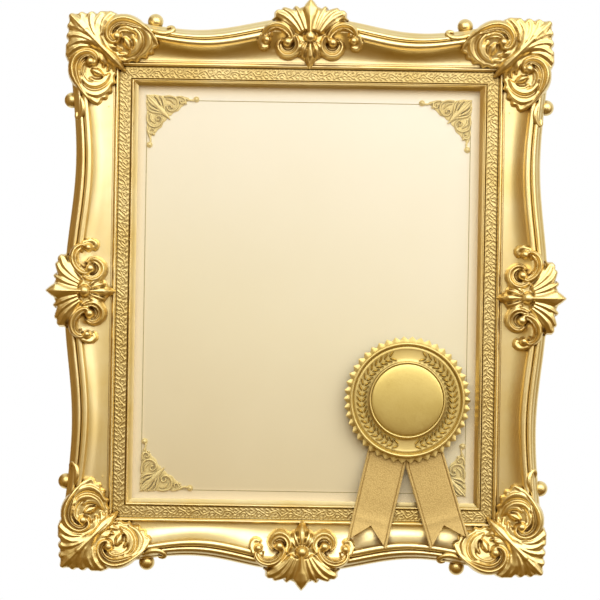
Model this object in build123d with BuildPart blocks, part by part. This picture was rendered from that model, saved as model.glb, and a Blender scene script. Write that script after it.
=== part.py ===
from build123d import *
import math
import os

# A gilded swept picture frame that holds an award certificate, with a rosette and two ribbons.
# The part is seen from the front along +Y: +X is to the right, +Z is up, and the wall is the plane y = 0.
# Heights named below are measured forward from the flat back of the rails.

# Sheet and rebate
certificate_width = 254.0
certificate_height = 304.8
certificate_thickness = 0.4
rebate_cover = 5.0
pack_clearance = 1.0
pack_play = 0.4
backing_thickness = 3.0
mount_board_thickness = 1.5
spacer_thickness = 2.5
spacer_width = 3.6
glazing_thickness = 2.0

# Rail moulding, from the sight edge outwards
lip_edge = 1.0
lip_bevel_width = 2.4
lip_bevel_rise = 1.8
lip_bead_width = 2.2
lip_bead_rise = 1.6
frieze_width = 8.8
inner_bead_width = 3.1
inner_bead_wall = 1.8
inner_bead_rise = 2.2
quirk_width = 1.3
quirk_depth = 1.0
cove_foot = 0.6
cove_rise = 6.4
cove_hollow = 1.6
cap_width = 3.5
cap_rise = 1.4
outer_bead_width = 4.3
outer_bead_rise = 3.4
side_band_width = 6.4
side_foot_height = 8.0
back_taper = 2.0
bulge_width = 50.5
dip_width_top = 40.0
dip_width_side = 43.5
corner_trim = 14.0
half_rail_sections = 8
mitre_margin = 3.0

# Frieze strips
frieze_thickness = 1.6
frieze_play = 0.1
frieze_boss_radius = 1.5
frieze_boss_rise = 0.7
frieze_boss_pitch = 7.2

# Ornaments, seated in pockets in the rails
pocket_floor = 12.0
ornament_base = 11.0
ornament_play = 0.1
ornament_frieze_gap = 0.5
scroll_tube = 2.3
scroll_lift = 0.7
scroll_margin = 0.4
leaf_rise = 4.6
stem_rise = 6.0
stem_width = 6.0
ball_sink = 1.0

# Corner ornament, measured from the outer corner along the inward diagonal and across it
corner_scroll_along = 36.8
corner_scroll_across = 17.0
corner_scroll_radius = 12.8
corner_eye_radius = 3.2
corner_bulb_along = 46.7
corner_bulb_across = 10.5
corner_bulb_radius = 3.4
corner_skirt_along = 59.5
corner_skirt_across = 26.2
corner_lobes = ((12.4, 4.6, 5.5), (18.4, 11.3, 5.2), (24.7, 16.3, 5.6))
corner_tip_width = 5.0

# Pearls on the outer edge beside each corner
pearl_radius = 5.6
pearl_from_corner = 62.0
pearl_outset_end = 3.6
pearl_outset_side = 1.4
pearl_height = 12.0
pearl_play = 0.1
pearl_turn = (90, 30, 0)

# Centre ornament, measured along the rail and from its outer edge, outwards positive
crest_ball_inset = 15.0
crest_ball_radius = 4.4
crest_scroll_across = 20.0
crest_scroll_radius = 10.0
crest_spiral_across = 16.5
crest_spiral_inset = 23.5
crest_spiral_radius = 6.5
crest_eye_radius = 3.0
crest_curl_radius = 3.4
crest_tip_reach = 12.5
crest_mid_across = 10.0
crest_mid_reach = 8.5
crest_wing_across = 23.0
crest_wing_reach = 4.0
crest_drop_radius = 2.6

# Certificate corners
filigree_leg = 37.0
filigree_width = 5.0
filigree_rise = 0.8
filigree_side_margin = 5.7
filigree_top_margin = 7.0
filigree_ball_radius = 1.6

# Rosette and ribbons
rosette_x = 73.5
rosette_z = -74.0
rosette_pad_radius = 24.0
rosette_pad_thickness = 1.0
rosette_card_radius = 40.0
rosette_card_thickness = 1.0
ruffle_radius = 45.4
ruffle_root_radius = 42.6
ruffle_teeth = 46
ruffle_thickness = 2.0
medal_radius = 40.2
medal_rim_width = 2.2
medal_rim_rise = 1.6
medal_thickness = 2.0
bezel_radius = 27.2
bezel_width = 1.6
bezel_rise = 1.4
disc_radius = 25.4
disc_rim_thickness = 0.8
disc_dome = 1.6
wreath_radius = 32.0
wreath_leaves = 12
wreath_start_angle = 25.0
wreath_end_angle = 155.0
wreath_leaf_length = 8.4
wreath_leaf_width = 2.8
wreath_leaf_rise = 0.8
wreath_stem_width = 0.9
wreath_splay = 26.0
ribbon_width = 28.4
ribbon_length = 72.5
ribbon_thickness = 0.7
ribbon_notch = 13.5
ribbon_gap = 0.4
ribbon_glass_gap = 0.15
ribbon_start = 32.0
ribbon_left_tilt = 12.7
ribbon_right_tilt = -17.0
ribbon_left_shift = 11.8
ribbon_right_shift = 10.0
ribbon_parting = 0.3

# Back: bumpers, turn buttons, hangers and corner nails
bumper_height = 6.0
bumper_radius = 6.0
bumper_inset = 22.0
button_length = 30.0
button_width = 10.0
button_thickness = 1.2
button_lift = 0.2
button_tail = 6.0
button_pivot_inset = 7.0
button_spacing = 105.0
screw_radius = 1.5
screw_running_gap = 0.06
screw_pilot_play = 0.05
screw_head_radius = 3.0
screw_head_height = 1.4
screw_length = 9.0
strap_width = 14.0
strap_length = 34.0
strap_thickness = 1.4
strap_inset = 19.0
strap_screw_spacing = 14.0
strap_screw_edge = 7.0
hanger_height = 56.0
knuckle_radius = 2.2
knuckle_width = 11.0
ring_wire_radius = 1.2
ring_running_gap = 0.08
ring_width = 23.0
ring_rise = 18.0
ring_corner = 4.5
knuckle_lift = 0.6
nail_leg = 6.0
nail_thickness = 0.6
nail_depth = 9.0
nail_play = 0.05
nail_first = 16.0
nail_second = 30.0

# Sizes that follow from those above
sight_width = certificate_width - 2 * rebate_cover
sight_height = certificate_height - 2 * rebate_cover
mount_board_base = backing_thickness
certificate_base = mount_board_base + mount_board_thickness
certificate_face = certificate_base + certificate_thickness
glazing_base = certificate_face + spacer_thickness
rebate_depth = glazing_base + glazing_thickness
rebate_width = rebate_cover + pack_clearance
frieze_start = lip_bevel_width + lip_bead_width
frieze_end = frieze_start + frieze_width
frieze_seat = rebate_depth + lip_edge + lip_bevel_rise
cove_start = frieze_end + inner_bead_width + quirk_width
inner_bead_foot = frieze_seat + inner_bead_wall
quirk_floor = inner_bead_foot - quirk_depth
cove_low = inner_bead_foot + cove_foot
cove_high = cove_low + cove_rise
cap_height = cove_high + cap_rise
outer_width = sight_width + 2 * bulge_width
outer_height = sight_height + 2 * bulge_width

SIDES = {
    "top": (Vector(1, 0, 0), Vector(0, 0, 1), sight_height / 2, sight_width / 2, dip_width_top),
    "right": (Vector(0, 0, -1), Vector(1, 0, 0), sight_width / 2, sight_height / 2, dip_width_side),
    "bottom": (Vector(-1, 0, 0), Vector(0, 0, -1), sight_height / 2, sight_width / 2, dip_width_top),
    "left": (Vector(0, 0, 1), Vector(-1, 0, 0), sight_width / 2, sight_height / 2, dip_width_side),
}
CORNERS = {
    "top_left": (-1, 1),
    "top_right": (1, 1),
    "bottom_right": (1, -1),
    "bottom_left": (-1, -1),
}


def front_y(height):
    """World y of a height above the rails' back."""
    return -(bumper_height + height)


def front_plane(x, z, height, x_dir=(1, 0, 0)):
    """A plane facing the viewer, at a height above the rails' back."""
    return Plane(origin=(x, front_y(height), z), x_dir=x_dir, z_dir=(0, -1, 0))


def back_plane(x, z, height=0.0):
    """A plane facing the wall, at a height above the rails' back."""
    return Plane(origin=(x, front_y(height), z), x_dir=(-1, 0, 0), z_dir=(0, 1, 0))


def side_point(side, along, out, height=0.0):
    """A point on one side of the frame, from the middle of its sight edge."""
    run, outward, distance, _, _ = SIDES[side]
    flat = run * along + outward * (distance + out)
    return Vector(flat.X, front_y(height), flat.Z)


def rail_width(side, along):
    """Width of a serpentine rail: widest at its middle and ends, narrowest half way between."""
    half_outer = SIDES[side][3] + bulge_width
    dip = SIDES[side][4]
    mean = (bulge_width + dip) / 2
    swing = (bulge_width - dip) / 2
    return mean + swing * math.cos(2 * math.pi * along / half_outer)


def corner_plane(corner, height):
    """A plane at the outer corner of the frame, with x along the inward diagonal."""
    sign_x, sign_z = CORNERS[corner]
    diagonal = (-sign_x, 0, -sign_z)
    return front_plane(sign_x * outer_width / 2, sign_z * outer_height / 2, height, diagonal)


def crest_plane(side, height):
    """A plane at the middle of a rail's outer edge, with y outwards."""
    run = SIDES[side][0]
    origin = side_point(side, 0, bulge_width, height)
    return Plane(origin=origin, x_dir=run, z_dir=(0, -1, 0))


def keep(builder, name):
    """Label a finished piece and write it."""
    builder.part.label = name
    export_step(builder.part, f"parts/{name}.step")


# Outlines that are shared by an ornament and its pocket
def corner_outline(play):
    """Plan of a corner ornament: leaf fan, stem, two scrolls and two skirts."""
    stem_end = (bulge_width - frieze_end - ornament_frieze_gap) * math.sqrt(2)
    for sign in (1, -1):
        with Locations((corner_scroll_along, sign * corner_scroll_across)):
            Circle(corner_scroll_radius + play)
        for along, across, radius in corner_lobes:
            with Locations((along, sign * across)):
                Circle(radius + play)
        first_lobe, _, last_lobe = corner_lobes
        fan = [
            (0, 0),
            (first_lobe[0], sign * corner_tip_width),
            (last_lobe[0], sign * last_lobe[1]),
            (corner_scroll_along, sign * corner_scroll_across),
            (corner_bulb_along, sign * corner_bulb_across),
            (stem_end, 0),
        ]
        skirt = [
            (corner_scroll_along, sign * corner_scroll_across),
            (corner_scroll_along, sign * (corner_scroll_across + corner_scroll_radius)),
            (corner_skirt_along, sign * corner_skirt_across),
            (corner_bulb_along + corner_bulb_radius, sign * corner_bulb_across),
        ]
        for points in (fan, skirt):
            with BuildSketch(mode=Mode.PRIVATE) as patch:
                with BuildLine():
                    Polyline(*points, close=True)
                make_face()
                if play:
                    offset(amount=play, kind=Kind.INTERSECTION)
            add(patch.sketch)


def crest_outline(play):
    """Plan of a centre ornament: palmette, two scrolls and a pointed drop."""
    inner_end = -(bulge_width - frieze_end - ornament_frieze_gap)
    scroll_edge = crest_scroll_radius + scroll_tube + scroll_margin
    spiral_edge = crest_spiral_radius + scroll_tube + scroll_margin
    for sign in (1, -1):
        with Locations((sign * crest_scroll_across, -crest_ball_inset)):
            Circle(scroll_edge + play)
        with Locations((sign * crest_spiral_across, -crest_spiral_inset)):
            Circle(spiral_edge + play)
    palmette = [
        (0, crest_tip_reach),
        (crest_mid_across / 2, crest_mid_reach - 2 * ball_sink),
        (crest_mid_across, crest_mid_reach),
        (crest_mid_across + 2 * ball_sink, crest_wing_reach - ball_sink),
        (crest_wing_across, crest_wing_reach),
        (crest_wing_across, -crest_ball_inset),
        (crest_spiral_across, -crest_spiral_inset - spiral_edge),
        (0, inner_end),
    ]
    for sign in (1, -1):
        with BuildSketch(mode=Mode.PRIVATE) as patch:
            with BuildLine():
                Polyline(*[(sign * across, out) for across, out in palmette], close=True)
            make_face()
            if play:
                offset(amount=play, kind=Kind.INTERSECTION)
        add(patch.sketch)


# Shapes that the ornaments repeat
def leaf_on(level, start, end, width, rise):
    """A pointed leaf from start to end that narrows upwards to a ridge."""
    root = Vector(*start)
    tip = Vector(*end)
    across = Vector(root.Y - tip.Y, tip.X - root.X).normalized()
    middle = (root + tip) * 0.5
    inner_root = root + (tip - root) * 0.25
    inner_tip = tip - (tip - root) * 0.25
    layers = ((0.0, root, tip, width / 2), (rise, inner_root, inner_tip, width / 8))
    sections = []
    for height, low, high, half in layers:
        with BuildSketch(Plane.XY.offset(level + height)) as lens:
            with BuildLine():
                ThreePointArc(low, middle + across * half, high)
                ThreePointArc(high, middle - across * half, low)
            make_face()
        sections.append(lens.sketch.face())
    loft(sections=sections, ruled=True)


def tube_along(path, radius):
    """A round bead that follows a path of arcs and lines."""
    with BuildSketch(Plane(origin=path @ 0, z_dir=path % 0)) as section:
        Circle(radius)
    sweep(sections=section.sketch, path=path)


def ball_at(across, out, level, radius):
    with Locations((across, out, level)):
        Sphere(radius)


# Ornament masters, modelled flat and then set on the frame
def corner_master():
    with BuildPart() as ornament:
        with BuildSketch():
            corner_outline(0.0)
        extrude(amount=ornament_base)
        for sign in (1, -1):
            outer = corner_scroll_radius - scroll_tube - scroll_margin
            inner = outer * 0.55
            centre = (corner_scroll_along, sign * corner_scroll_across)
            right = (centre[0] + outer, centre[1])
            over = (centre[0], centre[1] + sign * outer)
            left = (centre[0] - outer, centre[1])
            under = (left[0] + inner, centre[1] - sign * inner)
            end = (left[0] + 2 * inner, centre[1])
            with BuildLine(Plane.XY.offset(ornament_base + scroll_lift)) as spiral:
                ThreePointArc(right, over, left)
                ThreePointArc(left, under, end)
            tube_along(spiral.wire(), scroll_tube)
            ball_at(end[0], end[1], ornament_base + ball_sink, corner_eye_radius)
            ball_at(corner_bulb_along, sign * corner_bulb_across, ornament_base, corner_bulb_radius)
            for along, across, radius in corner_lobes:
                root = (along + 2 * radius, sign * across / 4)
                tip = (along - radius / 2, sign * (across + radius / 2))
                leaf_on(ornament_base - ball_sink, root, tip, radius, leaf_rise)
            skirt_root = (corner_bulb_along, sign * corner_scroll_across)
            skirt_tip = (corner_skirt_along - ball_sink, sign * (corner_skirt_across - ball_sink))
            leaf_on(ornament_base - ball_sink, skirt_root, skirt_tip, stem_width, leaf_rise)
        stem_end = (bulge_width - frieze_end) * math.sqrt(2) - 3 * ball_sink
        leaf_on(ornament_base - ball_sink, (2 * ball_sink, 0), (stem_end, 0), stem_width, stem_rise)
    return ornament


def crest_master():
    with BuildPart() as ornament:
        with BuildSketch():
            crest_outline(0.0)
        extrude(amount=ornament_base)
        for sign in (1, -1):
            far = sign * (crest_scroll_across + crest_scroll_radius)
            near = sign * (crest_scroll_across - crest_scroll_radius)
            spiral_far = near + sign * 2 * crest_spiral_radius
            spiral_near = near + sign * (2 * scroll_tube + scroll_margin)
            spiral_top = (spiral_far + spiral_near) / 2
            spiral_rise = abs(spiral_far - spiral_near) / 2
            with BuildLine(Plane.XY.offset(ornament_base + scroll_lift)) as spiral:
                ThreePointArc(
                    (far, -crest_ball_inset),
                    (sign * crest_scroll_across, crest_scroll_radius - crest_ball_inset),
                    (near, -crest_ball_inset),
                )
                Line((near, -crest_ball_inset), (near, -crest_spiral_inset))
                ThreePointArc(
                    (near, -crest_spiral_inset),
                    (near + sign * crest_spiral_radius, -crest_spiral_inset - crest_spiral_radius),
                    (spiral_far, -crest_spiral_inset),
                )
                ThreePointArc(
                    (spiral_far, -crest_spiral_inset),
                    (spiral_top, spiral_rise - crest_spiral_inset),
                    (spiral_near, -crest_spiral_inset),
                )
            tube_along(spiral.wire(), scroll_tube)
            ball_at(spiral_near, -crest_spiral_inset, ornament_base + ball_sink, crest_eye_radius)
            ball_at(far, -crest_ball_inset, ornament_base, crest_curl_radius)
            root = (0, -crest_ball_inset)
            lobes = ((crest_mid_across, crest_mid_reach), (crest_wing_across, crest_wing_reach))
            for across, reach in lobes:
                tip = (sign * (across - ball_sink), reach - ball_sink)
                leaf_on(ornament_base - ball_sink, root, tip, stem_width, leaf_rise)
        tip = (0, crest_tip_reach - ball_sink)
        leaf_on(ornament_base - ball_sink, (0, -crest_ball_inset), tip, stem_width, stem_rise)
        ball_at(0, -crest_ball_inset, ornament_base + crest_ball_radius / 2, crest_ball_radius)
        ball_at(0, -crest_spiral_inset - crest_spiral_radius / 2, ornament_base, crest_drop_radius)
    return ornament


def set_copy(master, plane, name):
    """Set a copy of an ornament on the frame."""
    with BuildPart() as piece:
        with Locations(plane.location):
            add(master.part)
    keep(piece, name)


# Rails
def rail_profile(width):
    """Section of the moulding: sight edge at x = 0, height along y."""
    lip_top = rebate_depth + lip_edge
    cove_end = width - cap_width - outer_bead_width - side_band_width
    bead_start = cove_end + cap_width
    bead_end = bead_start + outer_bead_width
    cove_middle = ((cove_start + cove_end) / 2, (cove_low + cove_high) / 2 - cove_hollow)
    quirk_start = frieze_end + inner_bead_width
    with BuildLine() as outline:
        Polyline((0, rebate_depth), (0, lip_top), (lip_bevel_width, frieze_seat))
        ThreePointArc(
            (lip_bevel_width, frieze_seat),
            (lip_bevel_width + lip_bead_width / 2, frieze_seat + lip_bead_rise),
            (frieze_start, frieze_seat),
        )
        Polyline((frieze_start, frieze_seat), (frieze_end, frieze_seat), (frieze_end, inner_bead_foot))
        ThreePointArc(
            (frieze_end, inner_bead_foot),
            (frieze_end + inner_bead_width / 2, inner_bead_foot + inner_bead_rise),
            (quirk_start, inner_bead_foot),
        )
        Polyline(
            (quirk_start, inner_bead_foot),
            (quirk_start, quirk_floor),
            (cove_start, quirk_floor),
            (cove_start, cove_low),
        )
        ThreePointArc((cove_start, cove_low), cove_middle, (cove_end, cove_high))
        Polyline((cove_end, cove_high), (cove_end, cap_height), (bead_start, cap_height))
        ThreePointArc(
            (bead_start, cap_height),
            ((bead_start + bead_end) / 2, cap_height + outer_bead_rise),
            (bead_end, cap_height),
        )
        side_middle = (bead_end + 0.75 * side_band_width, (2 * cap_height + side_foot_height) / 3)
        ThreePointArc((bead_end, cap_height), side_middle, (width, side_foot_height))
        Polyline(
            (width, side_foot_height),
            (width - back_taper, 0),
            (rebate_width, 0),
            (rebate_width, rebate_depth),
            (0, rebate_depth),
        )
    make_face(outline.edges())


def pearl_points(side):
    """Places of the two pearls on a rail's outer edge."""
    reach = SIDES[side][3] + bulge_width - pearl_from_corner
    outset = pearl_outset_side if side in ("left", "right") else pearl_outset_end
    points = []
    for along in (-reach, reach):
        points.append(side_point(side, along, rail_width(side, along) + outset, pearl_height))
    return points


def button_points(side):
    """Places of the turn button pivots on a rail's back, along the rail."""
    if side in ("left", "right"):
        return (-button_spacing, button_spacing)
    return (0.0,)


def strap_screw_heights():
    """World z of the two screws in each hanger strap."""
    foot = hanger_height - strap_length
    return (foot + strap_screw_edge, foot + strap_screw_edge + strap_screw_spacing)


def strap_x(side):
    return SIDES[side][1].X * (sight_width / 2 + rebate_width + strap_inset)


def nail_places():
    """Places of the corner nails on each mitre, as corner and distance from the sight corner."""
    return [(corner, out) for corner in CORNERS for out in (nail_first, nail_second)]


def nail_sketch(corner, out, play):
    """Plan of one bent corner nail, standing across the mitre."""
    sign_x, sign_z = CORNERS[corner]
    x = sign_x * (sight_width / 2 + out)
    z = sign_z * (sight_height / 2 + out)
    plane = Plane(origin=(x, front_y(-play), z), x_dir=(sign_x, 0, sign_z), z_dir=(0, -1, 0))
    with BuildSketch(plane) as plan:
        for turn in (45, -45):
            with Locations(Location((0, 0), turn)):
                Rectangle(nail_leg, nail_thickness + 2 * play, align=(Align.MIN, Align.CENTER))
    return plan.sketch


def make_rail(side):
    run, outward, _, half_sight, _ = SIDES[side]
    half_outer = half_sight + bulge_width
    reach = half_outer + mitre_margin
    with BuildPart() as rail:
        for step in range(-half_rail_sections, half_rail_sections + 1):
            along = reach * step / half_rail_sections
            origin = side_point(side, along, 0)
            with BuildSketch(Plane(origin=origin, x_dir=outward, z_dir=run)):
                rail_profile(rail_width(side, along))
        loft()
        for point in pearl_points(side):
            with Locations(Location(point, pearl_turn)):
                Sphere(pearl_radius + pearl_play, mode=Mode.SUBTRACT)
        for end in (1, -1):
            mitre = Plane(origin=side_point(side, end * half_sight, 0), z_dir=run * end - outward)
            split(bisect_by=mitre, keep=Keep.BOTTOM)
            trim_point = side_point(side, end * half_outer, bulge_width - corner_trim)
            split(bisect_by=Plane(origin=trim_point, z_dir=run * end + outward), keep=Keep.BOTTOM)
        for corner in CORNERS:
            if side in corner:
                with BuildSketch(corner_plane(corner, pocket_floor)):
                    corner_outline(ornament_play)
        with BuildSketch(crest_plane(side, pocket_floor)):
            crest_outline(ornament_play)
        extrude(amount=2 * ornament_base, mode=Mode.SUBTRACT)
        for corner, out in nail_places():
            if side in corner:
                slot = nail_sketch(corner, out, nail_play)
                extrude(slot, amount=nail_depth + 2 * nail_play, mode=Mode.SUBTRACT)
        holes = []
        for along in button_points(side):
            holes.append(side_point(side, along, rebate_width + button_pivot_inset))
        if side in ("left", "right"):
            for z in strap_screw_heights():
                holes.append(Vector(strap_x(side), front_y(0), z))
        with BuildSketch(Plane(origin=(0, front_y(0), 0), x_dir=(1, 0, 0), z_dir=(0, -1, 0))):
            with Locations(*[(hole.X, hole.Z) for hole in holes]):
                Circle(screw_radius + screw_pilot_play)
        extrude(amount=screw_length + screw_pilot_play, mode=Mode.SUBTRACT)
    keep(rail, f"rail_{side}")


def make_frieze(side):
    """A pressed strip in the moulding's flat, with a row of raised bosses, mitred at its ends."""
    run, _, _, half_sight, _ = SIDES[side]
    low = frieze_start + frieze_play
    high = frieze_end - frieze_play
    long_half = half_sight + high - frieze_play
    short_half = half_sight + low - frieze_play
    plane = Plane(origin=side_point(side, 0, 0, frieze_seat), x_dir=run, z_dir=(0, -1, 0))
    count = math.floor(2 * short_half / frieze_boss_pitch)
    with BuildPart() as strip:
        with BuildSketch(plane):
            with BuildLine():
                Polyline(
                    (-short_half, low), (short_half, low), (long_half, high), (-long_half, high), close=True
                )
            make_face()
        extrude(amount=frieze_thickness)
        with BuildSketch(plane.offset(frieze_thickness)):
            with Locations((0, (low + high) / 2)):
                with GridLocations(frieze_boss_pitch, 0, count, 1):
                    Circle(frieze_boss_radius)
        extrude(amount=frieze_boss_rise)
    keep(strip, f"frieze_{side}")


# Glazing, sheet and backing
def make_board(width, height, base, thickness, name):
    with BuildPart() as board:
        with BuildSketch(front_plane(0, 0, base)):
            Rectangle(width, height)
        extrude(amount=thickness)
    keep(board, name)


def make_pack():
    full_width = sight_width + 2 * rebate_width - 2 * pack_play
    full_height = sight_height + 2 * rebate_width - 2 * pack_play
    make_board(full_width, full_height, 0, backing_thickness, "backing_panel")
    make_board(full_width, full_height, mount_board_base, mount_board_thickness, "mount_board")
    make_board(certificate_width, certificate_height, certificate_base, certificate_thickness, "certificate")
    make_board(full_width, full_height, glazing_base, glazing_thickness, "glazing")
    with BuildPart() as spacers:
        for sign in (1, -1):
            side_x = sign * (certificate_width - spacer_width) / 2
            end_z = sign * (certificate_height - spacer_width) / 2
            with BuildSketch(front_plane(side_x, 0, certificate_face)):
                Rectangle(spacer_width, certificate_height)
            with BuildSketch(front_plane(0, end_z, certificate_face)):
                Rectangle(certificate_width - 2 * spacer_width - 2 * pack_play, spacer_width)
        extrude(amount=spacer_thickness)
    keep(spacers, "glazing_spacers")


def make_filigree(corner):
    """A raised gilt corner on the sheet: two legs with ball ends and a leaf on the diagonal."""
    sign_x, sign_z = CORNERS[corner]
    x = sign_x * (sight_width / 2 - filigree_side_margin)
    z = sign_z * (sight_height / 2 - filigree_top_margin)
    half = filigree_width / 2
    with BuildPart() as filigree:
        with BuildSketch(front_plane(x, z, certificate_face, (-sign_x, 0, -sign_z))):
            for turn in (45, -45):
                with Locations(Location((0, 0), turn)):
                    with BuildLine(mode=Mode.PRIVATE) as leg:
                        Polyline(
                            (0, -half), (filigree_leg / 2, -half / 2), (filigree_leg, 0),
                            (filigree_leg / 2, half / 2), (0, half), close=True,
                        )
                    add(make_face(leg.edges(), mode=Mode.PRIVATE))
                    with Locations((filigree_leg, 0)):
                        Circle(filigree_ball_radius)
            with Locations((filigree_leg / 3, 0)):
                Ellipse(filigree_leg / 3, filigree_leg / 5)
        extrude(amount=filigree_rise)
    keep(filigree, f"certificate_corner_{corner}")


# Rosette and ribbons
def rosette_plane(height):
    return front_plane(rosette_x, rosette_z, rebate_depth + height)


def make_rosette():
    card_base = rosette_pad_thickness
    ruffle_base = card_base + rosette_card_thickness
    medal_base = ruffle_base + ruffle_thickness
    medal_face = medal_base + medal_thickness
    with BuildPart() as pad:
        with BuildSketch(rosette_plane(0)):
            Circle(rosette_pad_radius)
        extrude(amount=rosette_pad_thickness)
    keep(pad, "rosette_pad")
    with BuildPart() as card:
        with BuildSketch(rosette_plane(card_base)):
            Circle(rosette_card_radius)
        extrude(amount=rosette_card_thickness)
    keep(card, "rosette_card")
    with BuildPart() as ruffle:
        with BuildSketch(rosette_plane(ruffle_base)):
            points = []
            for step in range(2 * ruffle_teeth):
                angle = math.pi * step / ruffle_teeth
                radius = ruffle_root_radius if step % 2 else ruffle_radius
                points.append((radius * math.cos(angle), radius * math.sin(angle)))
            with BuildLine():
                Polyline(*points, close=True)
            make_face()
        extrude(amount=ruffle_thickness)
    keep(ruffle, "rosette_ruffle")
    with BuildPart() as medal:
        with BuildSketch(rosette_plane(medal_base)):
            Circle(medal_radius)
        extrude(amount=medal_thickness)
        with BuildSketch(rosette_plane(medal_face)):
            Circle(medal_radius)
            Circle(medal_radius - medal_rim_width, mode=Mode.SUBTRACT)
        extrude(amount=medal_rim_rise)
        with BuildSketch(rosette_plane(medal_face)):
            Circle(bezel_radius)
            Circle(bezel_radius - bezel_width, mode=Mode.SUBTRACT)
        extrude(amount=bezel_rise)
    keep(medal, "rosette_medal")
    with BuildPart() as disc:
        with BuildSketch(rosette_plane(medal_face)):
            Circle(disc_radius)
        extrude(amount=disc_rim_thickness)
        ball_radius = (disc_radius ** 2 + disc_dome ** 2) / (2 * disc_dome)
        centre = rosette_plane(medal_face + disc_rim_thickness + disc_dome - ball_radius).origin
        with BuildSketch(Plane(origin=centre, x_dir=(1, 0, 0), z_dir=(0, 0, 1))):
            with BuildLine():
                rim_y = -(ball_radius - disc_dome)
                Line((0, rim_y), (disc_radius, rim_y))
                mid_x = disc_radius / 2
                ThreePointArc(
                    (disc_radius, rim_y),
                    (mid_x, -math.sqrt(ball_radius ** 2 - mid_x ** 2)),
                    (0, -ball_radius),
                )
                Line((0, -ball_radius), (0, rim_y))
            make_face()
        revolve(axis=Axis(origin=centre, direction=(0, 1, 0)))
    keep(disc, "rosette_disc")
    make_wreath(medal_face)


def make_wreath(medal_face):
    """Two laurel branches that open at the top, each a stem with paired leaves."""
    half_leaf = wreath_leaf_length / 2
    with BuildPart() as wreath:
        with BuildSketch(rosette_plane(medal_face)):
            for sign in (1, -1):
                start = -90 + sign * wreath_start_angle
                sweep_angle = sign * (wreath_end_angle - wreath_start_angle)
                with BuildLine(mode=Mode.PRIVATE) as stem:
                    CenterArc((0, 0), wreath_radius, start, sweep_angle)
                trace(stem.edges(), wreath_stem_width)
                for step in range(wreath_leaves):
                    angle = start + sweep_angle * step / (wreath_leaves - 1)
                    x = wreath_radius * math.cos(math.radians(angle))
                    y = wreath_radius * math.sin(math.radians(angle))
                    heading = angle + sign * 90
                    for splay in (wreath_splay, -wreath_splay):
                        with Locations(Location((x, y), heading + splay)):
                            with Locations((half_leaf, 0)):
                                Ellipse(half_leaf, wreath_leaf_width / 2)
        extrude(amount=wreath_leaf_rise)
    keep(wreath, "laurel_wreath")


def ribbon_path(tilt, shift):
    """Side view of a ribbon: distance down it and height, from under the ruffle over the rail's beads."""
    slope = math.cos(math.radians(tilt))
    lean = math.sin(math.radians(tilt))
    slack = ribbon_width * abs(lean) / 2
    top_x = rosette_x + shift
    top_z = rosette_z - ribbon_start
    tail_x = top_x - ribbon_length * lean
    edges = (tail_x - ribbon_width / 2, tail_x, tail_x + ribbon_width / 2)
    tail_width = min(rail_width("bottom", x) for x in edges)
    bead_out = frieze_end + inner_bead_width / 2
    tail_out = tail_width - side_band_width - outer_bead_width / 2
    under_ruffle = rebate_depth + ribbon_glass_gap
    ruffle_drop = ruffle_radius - ribbon_start
    bead_drop = (sight_height / 2 + top_z + bead_out) / slope - slack
    tail_drop = (sight_height / 2 + top_z + tail_out) / slope - slack
    bead_height = inner_bead_foot + inner_bead_rise + ribbon_gap
    tail_height = cap_height + outer_bead_rise + ribbon_gap
    climb = (tail_height - bead_height) / (tail_drop - bead_drop)
    end_height = bead_height + climb * (ribbon_length - bead_drop)
    return [
        (0, under_ruffle),
        (ruffle_drop, under_ruffle + ribbon_glass_gap),
        (bead_drop, bead_height),
        (ribbon_length, end_height),
    ]


def make_ribbon(name, tilt, shift):
    """A flat ribbon that leaves the rosette, rests over the lip and ends on the rail in a swallow tail."""
    angle = math.radians(tilt)
    down = (-math.sin(angle), 0, -math.cos(angle))
    origin = (rosette_x + shift, front_y(0), rosette_z - ribbon_start)
    plane = Plane(origin=origin, x_dir=down, z_dir=(-math.cos(angle), 0, math.sin(angle)))
    lower = ribbon_path(tilt, shift)
    upper = [(drop, height + ribbon_thickness) for drop, height in reversed(lower)]
    with BuildPart() as ribbon:
        with BuildSketch(plane):
            with BuildLine():
                Polyline(*lower, *upper, close=True)
            make_face()
        extrude(amount=ribbon_width / 2, both=True)
        with BuildSketch(Plane(origin=origin, x_dir=down, z_dir=(0, -1, 0))):
            with BuildLine():
                Polyline(
                    (ribbon_length - ribbon_notch, 0),
                    (ribbon_length, ribbon_width / 2),
                    (ribbon_length + ribbon_notch, 0),
                    (ribbon_length, -ribbon_width / 2),
                    close=True,
                )
            make_face()
        extrude(amount=2 * lower[-1][1], mode=Mode.SUBTRACT)
        # Where the two ribbons would cross behind the ruffle, each is cut back to the rosette's middle.
        hand = math.copysign(1, shift)
        parting_x = rosette_x + hand * ribbon_parting / 2
        split(bisect_by=Plane(origin=(parting_x, 0, 0), z_dir=(hand, 0, 0)), keep=Keep.TOP)
    keep(ribbon, name)


# Back hardware
def make_bumpers():
    x = sight_width / 2 + bulge_width - bumper_inset
    z = sight_height / 2 + bulge_width - bumper_inset
    with BuildPart() as bumpers:
        with BuildSketch(back_plane(0, 0)):
            with GridLocations(2 * x, 2 * z, 2, 2):
                Circle(bumper_radius)
        extrude(amount=bumper_height)
    keep(bumpers, "bumpers")


def make_screw(point):
    """A round-head screw from a head above the back down into the rail."""
    x, z, seat = point
    with BuildSketch(back_plane(x, z, -seat)) as head:
        Circle(screw_head_radius)
    extrude(head.sketch, amount=screw_head_height)
    with BuildSketch(back_plane(x, z, screw_length)) as shank:
        Circle(screw_radius)
    extrude(shank.sketch, amount=screw_length + seat)


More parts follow.
